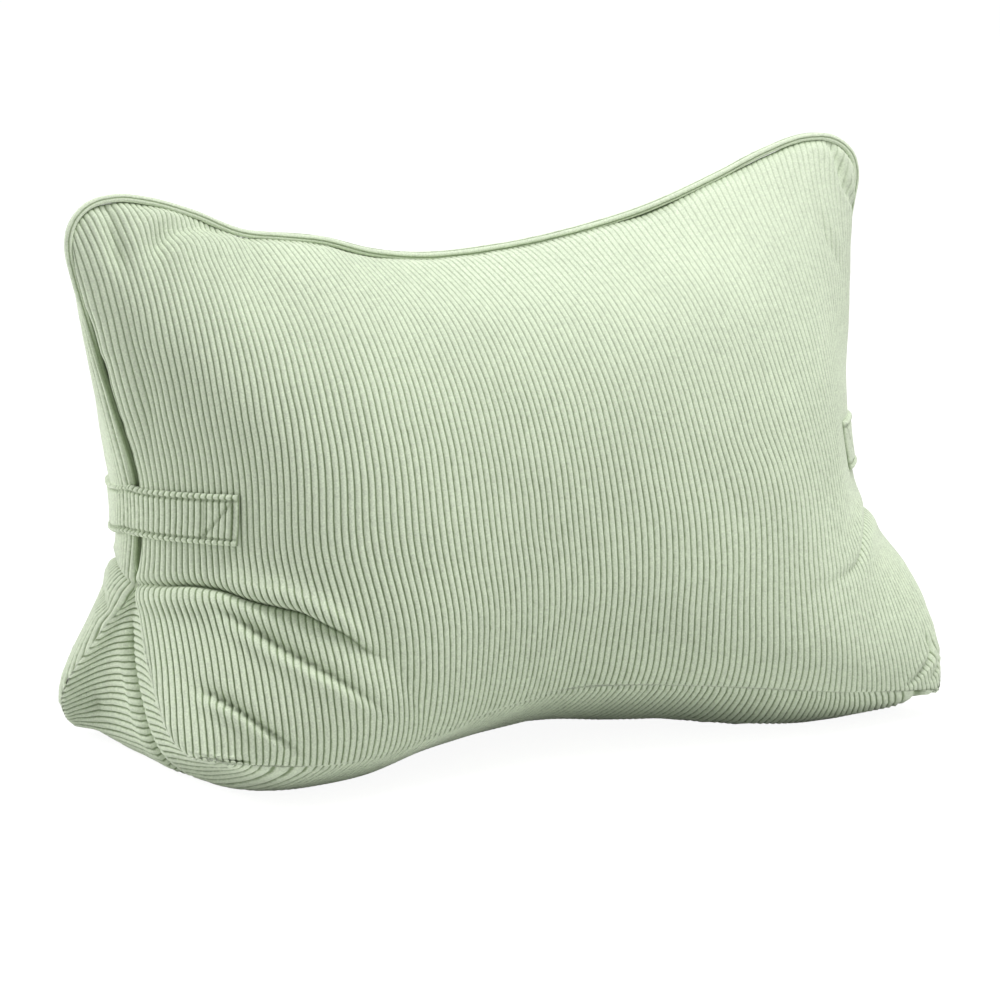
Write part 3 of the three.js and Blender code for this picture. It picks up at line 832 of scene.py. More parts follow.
def strip_middle(share):
    """Middle line of the strip and the power of its curve across."""
    along = 1 - np.abs(2 * share - 1)
    value = lambda n: smooth(STRIP[:, 0], column(STRIP, STRIP_NAMES, n), along)
    side = np.where(share < 0.5, -1, 1)
    line = np.stack([side * value("x") + value("lean"), 0 * share,
                     value("z") + side * value("tilt")], -1)
    return line, value("fullness")


def strip_ribs(sizes):
    """Rib coordinates of the strip's columns, their places and shares, and its length."""
    fine = np.linspace(0, 1, 3000)
    middle, _ = strip_middle(fine)
    middle[:, 2] = np.maximum(middle[:, 2], 0)
    run = length_along(middle)
    ribs = round(run[-1] * MM / sizes.rib_pitch)
    rib = rib_columns(ribs)
    place = rib / ribs * run[-1]
    return rib, place, np.interp(place, run, fine), run[-1]


def strip_density(row):
    """How close together the strip's rows are: closer at its seams and its crease."""
    return 1 + 4 * np.exp(-(1 - np.abs(row)) / 0.03) + 11 * bell(row, 0.035)


def strip_form(share, across):
    """The strip's plain form, and half the distance between its two seams."""
    front, back = (read_line(share, places, seam)
                   for seam, places in (strip_edge(facing) for facing in (FRONT, BACK)))
    middle, fullness = strip_middle(share)
    corner, reach, fuller = RIGHT_CORNER
    fullness = fullness * (1 + fuller * bell(share - corner, reach))
    bump = (1 - np.abs(across) ** fullness)[..., None]
    mean = (front + back) / 2
    points = mean + (back - front) * across[..., None] / 2 + bump * (middle - mean)
    return points, np.linalg.norm(back - front, axis=-1) / 2


def strip_axes(points):
    """Outward normals and the two ways along the strip, with its base laid on the floor."""
    lowered = np.maximum(points, (-1e9, -1e9, 0))
    lengthwise, crosswise = np.gradient(lowered, axis=1), np.gradient(lowered, axis=0)
    normals = unit(np.cross(lengthwise, crosswise))
    normals *= -np.sign(normals[len(points) // 2, points.shape[1] // 2, 2])
    normals[:, 0], normals[:, -1] = (-1, 0, 0), (1, 0, 0)
    lengthwise = unit(lengthwise)
    lengthwise[:, [0, -1]] = 0
    return normals, lengthwise, unit(crosswise)


def shape_strip(shell, sizes, rows):
    """Adds the strip of gussets and base to a shell and returns its numbering."""
    rib, place, share, length = strip_ribs(sizes)
    row = spaced(rows, -1 + 2 * EDGE, 1 - 2 * EDGE, strip_density)[:, None]
    middle = np.interp(place, STRIP_CREASE[:, 0],
                       column(STRIP_CREASE, STRIP_CREASE_NAMES, "across"))
    depth, brow, swell, fall = crease_sizes(place, STRIP_CREASE, STRIP_CREASE_NAMES)
    across = row + middle * (1 - row ** 2)
    points, half = strip_form(share, across)
    normals, lengthwise, crosswise = strip_axes(points)
    from_seam, gap = (1 - np.abs(across)) * half, (across - middle) * half
    at_end = np.clip(np.minimum(place, length - place) / 20, 0, 1)
    grounded = np.clip(points[..., 2] / 6, 0.08, 1)
    relief = sizes.sag * soft_noise(place / 45, across * half / 45, 35)
    relief += sizes.pucker * seam_pucker(from_seam, place, 36)
    relief += STRIP_RELIEF * sizes.rib_height * rib_height(rib) * seam_ended(from_seam)
    height = crease_height(gap, depth, brow, swell, fall) - SEAM_DIP * np.exp(-from_seam / 2.0)
    folded, fold_shade = fold_height(place, across, STRIP_FOLDS, STRIP_SCALE)
    height = (height + relief / MM * grounded) * at_end + folded
    wander = sizes.rib_wander / MM * soft_noise(rib / 5, across * half / 24, 31)
    slide = crease_slide(gap, depth, brow, swell) * at_end
    points = points + normals * height[..., None] + lengthwise * wander[..., None]
    points = points + crosswise * slide[..., None] + PLACE
    points[..., 2] = np.maximum(points[..., 2], 0)
    shade = np.maximum(1.2 * crease_shade(gap, depth), fold_shade)
    numbers = shell.add(points, cord_values(rib, STRIP_RELIEF, shade))
    numbers[:, 0] = numbers[rows // 2, 0]
    numbers[:, -1] = numbers[rows // 2, -1]
    shell.grid(numbers)
    return numbers


def unbroken(line):
    """A line of point numbers without those that come twice."""
    return np.array(list(dict.fromkeys(line.tolist())))


def make_cover(sizes, material):
    """The filled cover: front, back and strip sewn to one closed mesh."""
    shell = Shell()
    front = shape_panel(shell, FRONT, sizes, FRONT_ROWS, FRONT_CREASE, FRONT_FOLDS)
    back = shape_panel(shell, BACK, sizes, BACK_ROWS, BACK_CREASE, BACK_FOLDS)
    strip = shape_strip(shell, sizes, STRIP_ROWS)
    apex = [int(np.argmin(np.abs(panel_rows(len(panel)) - APEX))) for panel in (front, back)]
    upper, lower = [], []
    for panel, k in zip((front, back), apex):
        upper.append(unbroken(np.concatenate([panel[k:, 0], panel[-1, 1:-1],
                                              panel[:k - 1:-1, -1]])))
        lower.append(unbroken(np.concatenate([panel[k::-1, 0], panel[0, 1:-1],
                                              panel[:k + 1, -1]])))
    shell.sew(*upper)
    shell.sew(lower[0], strip[0])
    shell.sew(lower[1], strip[-1])
    for end in (0, -1):
        shell.face([front[apex[0], end], back[apex[1], end], strip[0, end]])
    return shell.make("cushion_cover", material)


# ------------------------------------------------------------------ piping
PIPING_STEPS = 460         # rings of the piping along its seam
PIPING_ENDS = (APEX + 0.012, 0.985)   # levels between which it is read from the side seams
PIPING_SINKS = 6           # length over which it sinks into the seam at its ends
PIPING_PLACE = (0.86, 0.2)  # how far it stands out at the top, in radii, and how much more below
PIPING_DARK = (318, 40)    # height below which its seam is in a dark valley, where the piping stands further out and is painted in shade, and over how much
PIPING_RELIEF = 0.6        # height of its ribs
PIPING_SIDES = 8           # faces round each of its ribs
PIPING_WOBBLE = (0.15, 9)  # height and length of its unevenness
PIPING_TWIST = (0.35, 130) # how far its ribs wind to and fro round it, and over what length


def seam_line(points_each):
    """The seam that is piped, from the left apex over the top to the right apex."""
    rows = [even_row(level, FRONT) for level in np.linspace(*PIPING_ENDS, points_each)]
    left = np.array([row[0] for row in rows])
    right = np.array([row[-1] for row in rows])[::-1]
    line = np.concatenate([left, even_row(1.0, FRONT)[::8], right])
    run = length_along(line)
    keep = np.concatenate([[True], np.diff(run) > 0.5])
    line, run = line[keep], run[keep]
    return evened(read_line(np.linspace(0, run[-1], PIPING_STEPS), run, line), 3)


def make_piping(sizes, material):
    """A cord covered in the cover's cloth, its ribs lengthwise, closed at both ends."""
    line = seam_line(60)
    run = length_along(line)
    ahead = unit(np.gradient(line, axis=0))
    outward = np.stack([-ahead[:, 2], 0 * run, ahead[:, 0]], -1)
    radius = sizes.piping_radius / MM
    sink = np.exp(-np.minimum(run, run[-1] - run) / PIPING_SINKS)
    down = np.clip((PIPING_DARK[0] - line[:, 2]) / PIPING_DARK[1], 0, 1)
    stands = radius * (PIPING_PLACE[0] + PIPING_PLACE[1] * down) * (1 - 1.3 * sink)
    centre = line + outward * stands[:, None]
    ribs = max(3, round(2 * math.pi * sizes.piping_radius / sizes.rib_pitch))
    sides = ribs * PIPING_SIDES
    rib = np.arange(sides) / PIPING_SIDES
    wobble = PIPING_WOBBLE[0] * soft_noise(rib[None], run[:, None] / PIPING_WOBBLE[1], 41)
    relief = PIPING_RELIEF * (rib_height(rib)[None] - 1) + wobble
    size = (radius + relief) * (1 - 0.75 * sink ** 2)[:, None]
    twist = PIPING_TWIST[0] * np.sin(run[:, None] / PIPING_TWIST[1])
    turn = (rib / ribs * 2 * math.pi)[None] + twist
    ring = np.cos(turn)[..., None] * outward[:, None] + np.sin(turn)[..., None] * (0, 1, 0)
    points = centre[:, None] + size[..., None] * ring + PLACE
    # painted shade on the piping low on the sides, where it lies in a valley, strongest on its side
    # turned in
    hidden = 0.5 - 0.5 * np.cos(turn)
    cord = cord_values(rib[None], np.ones_like(relief), down[:, None] * (0.8 + hidden))
    shell = Shell()
    numbers = shell.add(points, cord)
    shell.grid(np.concatenate([numbers, numbers[:, :1]], axis=1))
    for end in (0, -1):
        tip = shell.add(points[end].mean(axis=0)[None], cord[end, :1])
        rim = numbers[end]
        for k in range(sides):
            shell.face([rim[k], rim[(k + 1) % sides], tip[0]])
    return shell.make("cushion_piping", material)


# ------------------------------------------------------------------ carrying straps
STRAP_HEIGHTS = np.arange(144.0, 212.0, 3.0)   # heights at which the cover is read under them
STRAP_LEVEL = 0.47    # level of the panels under the straps
STRAP_BEAD = 1.3      # height of the rolled edges
STRAP_RIM = 1.7       # distance of a rolled edge's crest from the edge itself
STRAP_SCALLOP = 0.45  # how far a rib stands out over a long edge
STRAP_DROP = 5.0      # how much lower a strap lies behind the seam
STRAP_SETTLES = 50.0  # distance behind the seam at which it has sunk that far
STRAP_ROWS = 44       # rows of mesh across a strap
STRAP_FACE = (353, 35)   # places along and across a strap at which its face is read for stitches
OVER_PIPING = (1.85, 0.3)   # height of a strap over the piping, in its radii and millimetres
OVER_REACH = 11.0     # how far from the seam the piping lifts it
STITCH_PRESS = 1.5    # how deep stitching presses a strap in
STITCH_WIDTH = 1.0    # half width of that dent
THREAD = 0.32         # radius of the sewing thread
THREAD_ARCH = (0.55, 0.25)   # height of a stitch's arch, and how deep its ends lie
STITCH_GAP = 0.7      # distance between two stitches


def side_walk(side, facing, runs):
    """Points and normals of the cover at STRAP_HEIGHTS and at runs from the side seam."""
    points, normals, _, _ = plain_sheet(facing)
    if side > 0:
        points, normals = points[:, ::-1], normals[:, ::-1]
    reach = points.shape[1] * 2 // 5
    steps, columns = np.arange(len(points)), np.arange(reach)
    found, outward = [], []
    for height in STRAP_HEIGHTS:
        row = np.array([np.interp(height, points[:, k, 2], steps) for k in columns])
        line, normal = read_grid(points, row, columns), read_grid(normals, row, columns)
        run = length_along(line)
        found.append(read_line(runs, run, line))
        outward.append(read_line(runs, run, normal))
    return np.array(found), np.array(outward)


def strap_base(side, sizes, runs, ups):
    """Grid of points and normals under a strap; runs are signed, below 0 on the front."""
    ahead = runs < 0
    front, back = side_walk(side, FRONT, -runs[ahead]), side_walk(side, BACK, runs[~ahead])
    tables = [np.concatenate([f, b], axis=1) for f, b in zip(front, back)]
    behind = np.clip(runs / STRAP_SETTLES, 0, 1)
    sunk = STRAP_DROP * behind * behind * (3 - 2 * behind)
    wanted = sizes.strap_height / MM - sizes.strap_tilt * runs[None] - sunk + ups[:, None]
    at = (wanted - STRAP_HEIGHTS[0]) / (STRAP_HEIGHTS[1] - STRAP_HEIGHTS[0])
    columns = np.arange(len(runs))[None]
    points, normals = (read_grid(table, at, columns) for table in tables)
    near = bell(runs, 6.0)[None, :, None]
    return points, unit(unit(normals) * (1 - near) + np.array([side, 0, 0]) * near)


def strap_span(side, sizes):
    """Ends of a strap as signed runs from the side seam, the front one first."""
    reach = sizes.strap_reach / MM
    shift = (sizes.strap_shift_left if side < 0 else sizes.strap_shift_right) / MM
    return -reach - shift, reach - shift


def strap_offset(runs, sizes):
    """Height of a strap's inner face above the cover's plain form, in millimetres."""
    fuller = np.where(runs > 0, side_fullness(STRAP_LEVEL, BACK), 1)
    lies = piped_swell(np.abs(runs), fuller * sizes.side_swell / MM)
    lies += 0.8 * sizes.rib_height / MM
    over = OVER_PIPING[0] * sizes.piping_radius / MM + OVER_PIPING[1]
    return lies + (over - lies) * bell(runs, OVER_REACH)


def pressed_in(rim, up, end, half, sizes):
    """How far stitching presses a strap in, 0 to 1; rim and end are distances from its edges."""
    inset, box = sizes.stitch_inset / MM, sizes.box_length / MM
    beside = np.where(np.abs(up) < half - inset + 0.5, 0.0, 1e3)
    diagonal = (end - inset) / (box - inset) * 2 - 1 + up / (half - inset)
    diagonal = diagonal * (box - inset) / 2 * 0.7
    within = (end > inset - 1) & (end < box + 1)
    lines = (rim - inset, np.abs(end - inset) + beside, np.abs(end - box) + beside,
             np.where(within, diagonal, 1e3))
    return np.clip(sum(bell(line, STITCH_WIDTH) for line in lines), 0, 1)


def strap_relief(run, up, span, half, sizes):
    """Height of the strap's outer face, and how far stitching presses it in, 0 to 1.

    Its ribs run crosswise and end in a row of beads along the folded edges.
    """
    end = np.minimum(run - span[0], span[1] - run)
    rim = half - np.abs(up)
    pressed = pressed_in(rim, up, end, half, sizes)
    rib = rib_height(run / (sizes.rib_pitch / MM))
    bead = STRAP_BEAD * bell(rim - STRAP_RIM, 1.3) * (0.45 + 0.55 * rib)
    bead = np.maximum(bead, 0.6 * STRAP_BEAD * bell(end - 1.9, 1.3))
    rounded = 1 - np.exp(-np.maximum(np.minimum(rim, end), 0) / 0.9)
    ribbed = 1.25 * sizes.rib_height / MM * rib
    return (ribbed + bead - STITCH_PRESS * pressed) * rounded, pressed


def make_strap(name, side, sizes, material):
    """A folded strap with crosswise ribs, sewn on round the side seam."""
    span, half = strap_span(side, sizes), sizes.strap_width / MM / 2
    pitch = sizes.rib_pitch / MM
    ribs = math.ceil(max(-span[0], span[1]) / pitch)
    runs = (rib_columns(2 * ribs) - ribs) * pitch
    runs = np.unique(np.concatenate([runs[(runs > span[0]) & (runs < span[1])], span]))
    ups = spaced(STRAP_ROWS, -half, half, lambda v: 1 + 3 * np.exp(-(half - np.abs(v)) / 3.5))
    points, normals = strap_base(side, sizes, runs, ups)
    scallop = STRAP_SCALLOP * (rib_height(runs / pitch) - 0.5)[None]
    points[..., 2] += np.sign(ups)[:, None] * scallop * (np.abs(ups) / half)[:, None] ** 8
    relief, pressed = strap_relief(runs[None], ups[:, None], span, half, sizes)
    inner = np.broadcast_to(strap_offset(runs, sizes)[None], relief.shape)
    outer = inner + sizes.strap_thickness / MM + relief
    shell = Shell()
    # the outer face is painted in shade along its stitch lines, the inner face under the strap all
    # over
    out, back = (shell.add(points + normals * lift[..., None] + PLACE,
                           cord_values(runs[None] / pitch, dark, painted_shade))
                 for lift, dark, painted_shade in ((outer, 1.5, 0.6 * pressed),
                                            (inner, 1.0, np.full(relief.shape, 0.8))))
    for grid in (out, back, np.stack([out[0], back[0]]), np.stack([out[-1], back[-1]]),
                 np.stack([out[:, 0], back[:, 0]]), np.stack([out[:, -1], back[:, -1]])):
        shell.grid(grid)
    return shell.make(name, material)


def stitch_paths(side, sizes):
    """Lines of stitching on a strap, each two ends (run, up) in millimetres."""
    span, half = strap_span(side, sizes), sizes.strap_width / MM / 2
    inset, box = sizes.stitch_inset / MM, sizes.box_length / MM
    rim = half - inset
    paths = [((span[0] + inset, up), (span[1] - inset, up)) for up in (-rim, rim)]
    for end, sign in zip(span, (-1, 1)):
        near, far = end - sign * inset, end - sign * box
        paths += [((near, -rim), (near, rim)), ((far, -rim), (far, rim)),
                  ((far, -rim), (near, rim))]
    return paths


def make_stitching(name, side, sizes, material):
    """Every stitch of a strap as a short rounded thread lying in its line."""
    span, half = strap_span(side, sizes), sizes.strap_width / MM / 2
    runs, ups = np.linspace(*span, STRAP_FACE[0]), np.linspace(-half, half, STRAP_FACE[1])
    points, normals = strap_base(side, sizes, runs, ups)
    relief, _ = strap_relief(runs[None], ups[:, None], span, half, sizes)
    lift = strap_offset(runs, sizes)[None] + sizes.strap_thickness / MM + relief
    surface = points + normals * lift[..., None] + PLACE

    def at(grid, places):
        """Values of a grid over the strap at places (run, up)."""
        along = (places[..., 0] - span[0]) / (span[1] - span[0]) * (len(runs) - 1)
        return read_grid(grid, (places[..., 1] + half) / (2 * half) * (len(ups) - 1), along)

    stitch = sizes.stitch_length / MM
    stitched = 0.5 * stitch / (stitch + STITCH_GAP)
    shell = Shell()
    for start, end in np.array(stitch_paths(side, sizes)):
        count = max(1, int(np.linalg.norm(end - start) // (stitch + STITCH_GAP)))
        for middle in (np.arange(count) + 0.5) / count:
            shares = middle + np.linspace(-stitched, stitched, 5) / count
            places = start + (end - start) * shares[:, None]
            add_stitch(shell, at(surface, places), at(normals, places[2]))
    return shell.make(name, material)


def add_stitch(shell, line, normal):
    """One stitch: a small tube that dips into the cloth at both ends."""
    arch = np.sin(math.pi * np.linspace(0, 1, len(line)))
    line = line + normal * (THREAD_ARCH[0] * arch - THREAD_ARCH[1])[:, None]
    aside = unit(np.cross(unit(line[-1] - line[0]), normal))
    angles = np.arange(6) / 6 * 2 * math.pi
    ring = np.cos(angles)[:, None] * aside + np.sin(angles)[:, None] * unit(normal)
    rings = line[:, None] + (THREAD * (0.5 + 0.5 * arch))[:, None, None] * ring[None]
    numbers = shell.add(rings, np.zeros(rings.shape))
    shell.grid(np.concatenate([numbers, numbers[:, :1]], axis=1))
    shell.face(numbers[0].tolist())
    shell.face(numbers[-1].tolist())


# ------------------------------------------------------------------ materials
MIX_INPUTS, MIX_RESULT = (0, 6, 7), 2   # a mix node's factor and its two colours; the result


def feed(tree, socket, value):
    """Joins an input to another node's output, or sets it to a plain value."""
    if isinstance(value, bpy.types.NodeSocket):
        tree.links.new(value, socket)
    else:
        socket.default_value = value


def add_node(tree, kind, inputs, **settings):
    """A shader node; inputs gives an output or a value for each input, by name or number."""
    node = tree.nodes.new(kind)
    for name, value in settings.items():
        setattr(node, name, value)
    for name, value in inputs.items():
        feed(tree, node.inputs[name], value)
    return node


def maths(tree, operation, *values):
    """The result of a math node; the values are outputs or numbers."""
    return add_node(tree, "ShaderNodeMath", dict(enumerate(values)), operation=operation).outputs[0]


def mix_colour(tree, factor, a, b, blend="MIX"):
    """A mix of two colours; each argument is an output or a value."""
    inputs = dict(zip(MIX_INPUTS, (factor, a, b)))
    mixed = add_node(tree, "ShaderNodeMix", inputs, data_type="RGBA", blend_type=blend)
    return mixed.outputs[MIX_RESULT]


def noise(tree, place, scale, detail):
    """Noise over a surface, from 0 to 1."""
    inputs = {"Vector": place, "Scale": scale, "Detail": detail}
    return add_node(tree, "ShaderNodeTexNoise", inputs).outputs["Fac"]


def add_up(tree, *parts):
    """The sum of outputs, each with its own weight."""
    total, *others = (maths(tree, "MULTIPLY", value, weight) for value, weight in parts)
    for other in others:
        total = maths(tree, "ADD", total, other)
    return total


VALLEY_SHADE_COLOUR = (0.045, 0.06, 0.03, 1)    # painted shade: the colour of the cloth deep in a narrow valley
PILE_SOCKETS = (
    ("INPUT", "Cord", "NodeSocketVector"), ("INPUT", "Place", "NodeSocketVector"),
    ("INPUT", "Crest", "NodeSocketColor"), ("INPUT", "Groove", "NodeSocketColor"),
    ("INPUT", "Groove Width", "NodeSocketFloat"), ("INPUT", "Mottle", "NodeSocketFloat"),
    ("OUTPUT", "Color", "NodeSocketColor"), ("OUTPUT", "Height", "NodeSocketFloat"),
)
PILE_NOISE = ((14.0, 3.0), (900.0, 2.0), (230.0, 3.0))   # scale and detail: broad, tuft, clump
RAGGED = 0.16        # how far clumps of pile move a groove's edge, in rib widths
GROOVE_END = 1.02    # where a groove is bare; 0 is the crest of a rib and 1 the groove itself
SPECK_MIDDLE = 1.45  # mean of the noise that mottles the colour
GROOVE_WIDTH = 0.46  # share of a rib's spacing that is darker towards the groove
MOTTLE = 0.34        # how strongly the colour is mottled
PILE_DEPTH = 0.0006  # depth of the pile's grain, in metres
TWIST_SCALE, TWIST_DEPTH = 900.0, 0.0001   # fineness and depth of the thread's strands
STRAND_SHADE = 0.8   # brightness of the thread between two strands


def pile_colour(tree, given, cord, off, speck):
    """Colour of the pile: dark in the grooves, partly painted shade, with painted shade in seams,
    creases and folds, darker still deep in a valley, and mottled.
    """
    start = maths(tree, "SUBTRACT", 1.0, given["Groove Width"])
    inputs = {"Value": off, "From Min": start, "From Max": GROOVE_END}
    depth = add_node(tree, "ShaderNodeMapRange", inputs, interpolation_type="SMOOTHSTEP")
    # share of the groove colour: the groove itself, partly painted shade, plus the painted shade of
    # seams, creases and folds
    groove_and_shade = maths(tree, "MULTIPLY", depth.outputs["Result"], cord["Y"])
    groove_and_shade = maths(tree, "MINIMUM", maths(tree, "ADD", groove_and_shade, cord["Z"]), 1.0)
    colour = mix_colour(tree, groove_and_shade, given["Crest"], given["Groove"])
    # painted shade deep in a narrow valley, past the groove colour
    deep_shade = maths(tree, "MAXIMUM", maths(tree, "SUBTRACT", cord["Z"], 1.0), 0.0)
    colour = mix_colour(tree, deep_shade, colour, VALLEY_SHADE_COLOUR)
    shade = maths(tree, "MULTIPLY", maths(tree, "SUBTRACT", speck, SPECK_MIDDLE), given["Mottle"])
    shade = maths(tree, "ADD", shade, 1.0)
    grey = add_node(tree, "ShaderNodeCombineXYZ", dict(enumerate([shade] * 3)))
    return mix_colour(tree, 1.0, colour, grey.outputs[0], "MULTIPLY")


def pile_group():
    """The cloth's cut pile: its colour and height from the cord coordinates."""
    if "cord_pile" in bpy.data.node_groups:
        return bpy.data.node_groups["cord_pile"]
    tree = bpy.data.node_groups.new("cord_pile", "ShaderNodeTree")
    for way, name, kind in PILE_SOCKETS:
        tree.interface.new_socket(name, in_out=way, socket_type=kind)
    given = tree.nodes.new("NodeGroupInput").outputs
    result = tree.nodes.new("NodeGroupOutput").inputs
    cord = add_node(tree, "ShaderNodeSeparateXYZ", {0: given["Cord"]}).outputs
    broad, tuft, clump = (noise(tree, given["Place"], *grain) for grain in PILE_NOISE)
    ragged = maths(tree, "MULTIPLY", maths(tree, "SUBTRACT", clump, 0.5), RAGGED)
    off = maths(tree, "FRACT", maths(tree, "ADD", cord["X"], ragged))
    off = maths(tree, "ABSOLUTE", maths(tree, "SUBTRACT", off, 0.5))
    off = maths(tree, "MULTIPLY", off, 2.0)
    speck = add_up(tree, (tuft, 1.6), (clump, 0.7), (broad, 0.6))
    feed(tree, result["Color"], pile_colour(tree, given, cord, off, speck))
    back = maths(tree, "SUBTRACT", 1.0, maths(tree, "POWER", off, 3.0))
    feed(tree, result["Height"], add_up(tree, (back, 0.5), (tuft, 0.7), (clump, 0.35)))
    return tree


def new_material(name, **finish):
    """A material with its node tree and its shader, the shader's plain values set."""
    material = bpy.data.materials.new(name)
    material.use_nodes = True
    shader = material.node_tree.nodes["Principled BSDF"]
    for socket, value in finish.items():
        shader.inputs[socket.replace("_", " ")].default_value = value
    return material, material.node_tree, shader


def cloth_material(name, crest, groove):
    """Cord cloth: soft pile with a slight sheen."""
    material, tree, shader = new_material(
        name, Roughness=0.92, Specular_IOR_Level=0.15, Sheen_Weight=0.30, Sheen_Roughness=0.45,
        Sheen_Tint=(1.0, 1.0, 0.97, 1))
    cord = add_node(tree, "ShaderNodeAttribute", {}, attribute_name="cord")
    place = add_node(tree, "ShaderNodeTexCoord", {})
    pile = tree.nodes.new("ShaderNodeGroup")
    pile.node_tree = pile_group()
    for socket, value in (("Cord", cord.outputs["Vector"]), ("Place", place.outputs["Object"]),
                          ("Crest", (*crest, 1)), ("Groove", (*groove, 1)),
                          ("Groove Width", GROOVE_WIDTH), ("Mottle", MOTTLE)):
        feed(tree, pile.inputs[socket], value)
    inputs = {"Strength": 0.6, "Distance": PILE_DEPTH, "Height": pile.outputs["Height"]}
    bump = add_node(tree, "ShaderNodeBump", inputs)
    feed(tree, shader.inputs["Base Color"], pile.outputs["Color"])
    feed(tree, shader.inputs["Normal"], bump.outputs["Normal"])
    return material


def thread_material(name, colour):
    """Sewing thread: twisted strands seen as fine stripes of light and shade."""
    material, tree, shader = new_material(name, Roughness=0.7, Sheen_Weight=0.1)
    place = add_node(tree, "ShaderNodeTexCoord", {})
    inputs = {"Vector": place.outputs["Object"], "Scale": TWIST_SCALE, "Distortion": 1.5}
    twist = add_node(tree, "ShaderNodeTexWave", inputs).outputs["Fac"]
    low = (*(c * STRAND_SHADE for c in colour), 1)
    bump = add_node(tree, "ShaderNodeBump", {"Distance": TWIST_DEPTH, "Height": twist})
    feed(tree, shader.inputs["Base Color"], mix_colour(tree, twist, low, (*colour, 1)))
    feed(tree, shader.inputs["Normal"], bump.outputs["Normal"])
    return material


# ------------------------------------------------------------------ stage
STAGE_MIDDLE = Vector((0, 0, 0.18))         # what the lamps look at
CAMERA_AIM = Vector((0.0134, -0.0123, 0.1595))   # what the camera looks at, from the seam's place
FLOOR_HALF, FLOOR_DROP = 7.0, 0.0002        # half the floor's side, and how far it lies lower


def place_looking(thing, aim, place):
    """Puts a lamp or the camera at a place so that it looks at its aim."""
    bpy.context.scene.collection.objects.link(thing)
    thing.location = place
    thing.rotation_mode = "QUATERNION"
    thing.rotation_quaternion = (aim - place).to_track_quat("-Z", "Y")


def direction(azimuth, elevation):
    """Unit vector to an azimuth, 0 in front of the cushion, and an elevation."""
    level = math.cos(elevation)
    return Vector((math.sin(azimuth) * level, -math.cos(azimuth) * level, math.sin(elevation)))


def white_to_camera(tree, shader, white, share):
    """Mixes in a share of plain white where the camera, a gloss or clear glass looks."""
    rays = add_node(tree, "ShaderNodeLightPath", {}).outputs
    seen = maths(tree, "MAXIMUM", rays["Is Camera Ray"], rays["Is Glossy Ray"])
    seen = maths(tree, "MAXIMUM", seen, rays["Is Transmission Ray"])
    inputs = {0: maths(tree, "MULTIPLY", seen, share), 1: shader.outputs[0], 2: white.outputs[0]}
    return add_node(tree, "ShaderNodeMixShader", inputs).outputs[0]


def make_floor(settings):
    """Plain floor: white to the camera but for a soft share of the shadow on it."""
    half, share = FLOOR_HALF, settings.shadow_share
    mesh = bpy.data.meshes.new("floor")
    mesh.from_pydata([(-half, -half, 0), (half, -half, 0), (half, half, 0), (-half, half, 0)],
                     [], [(0, 1, 2, 3)])
    material, tree, shader = new_material("floor_paper", Roughness=0.9, Specular_IOR_Level=0.0,
                                          Base_Color=(*settings.floor_colour, 1))
    unlit = settings.sky_light * min(settings.floor_colour)   # its brightness far from the lamps
    glow = add_node(tree, "ShaderNodeEmission", {"Strength": (1 - share * unlit) / (1 - share)})
    feed(tree, tree.nodes["Material Output"].inputs["Surface"],
         white_to_camera(tree, shader, glow, 1 - share))
    mesh.materials.append(material)
    floor = bpy.data.objects.new("floor", mesh)
    bpy.context.scene.collection.objects.link(floor)
    floor.location.z = -FLOOR_DROP
    floor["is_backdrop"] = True


def make_world(settings):
    """An even pale sky, white where the camera or a gloss sees it."""
    world = bpy.data.worlds.new("studio")
    bpy.context.scene.world = world
    world.use_nodes = True
    tree = world.node_tree
    tree.nodes.clear()
    white = add_node(tree, "ShaderNodeBackground", {"Color": (1, 1, 1, 1)})
    soft = add_node(tree, "ShaderNodeBackground",
                    {"Color": (1, 1, 1, 1), "Strength": settings.sky_light})
    add_node(tree, "ShaderNodeOutputWorld", {"Surface": white_to_camera(tree, soft, white, 1.0)})


def make_lamps(settings):
    """Three soft square lamps that look at the cushion."""
    for name, azimuth, elevation, distance, size, power in (
            ("key_lamp", 38, 69, 2.4, 1.3, settings.key_power),
            ("fill_lamp", -65, 38, 2.6, 1.4, settings.fill_power),
            ("rim_lamp", -128, 28, 2.3, 1.2, settings.rim_power)):
        data = bpy.data.lights.new(name, "AREA")
        data.size, data.energy = size, power
        away = direction(math.radians(azimuth), math.radians(elevation)) * distance
        place_looking(bpy.data.objects.new(name, data), STAGE_MIDDLE, STAGE_MIDDLE + away)


def make_camera(settings):
    """The camera, in front of the cushion, to its left and a little above."""
    data = bpy.data.cameras.new("camera")
    data.sensor_width, data.lens, data.clip_end = 36.0, settings.lens, 50.0
    camera = bpy.data.objects.new("camera", data)
    seam = Vector(PLACE * MM)
    away = direction(settings.camera_azimuth, settings.camera_elevation)
    place = seam + STAGE_MIDDLE + away * settings.camera_distance
    place_looking(camera, seam + CAMERA_AIM, place)
    bpy.context.scene.camera = camera


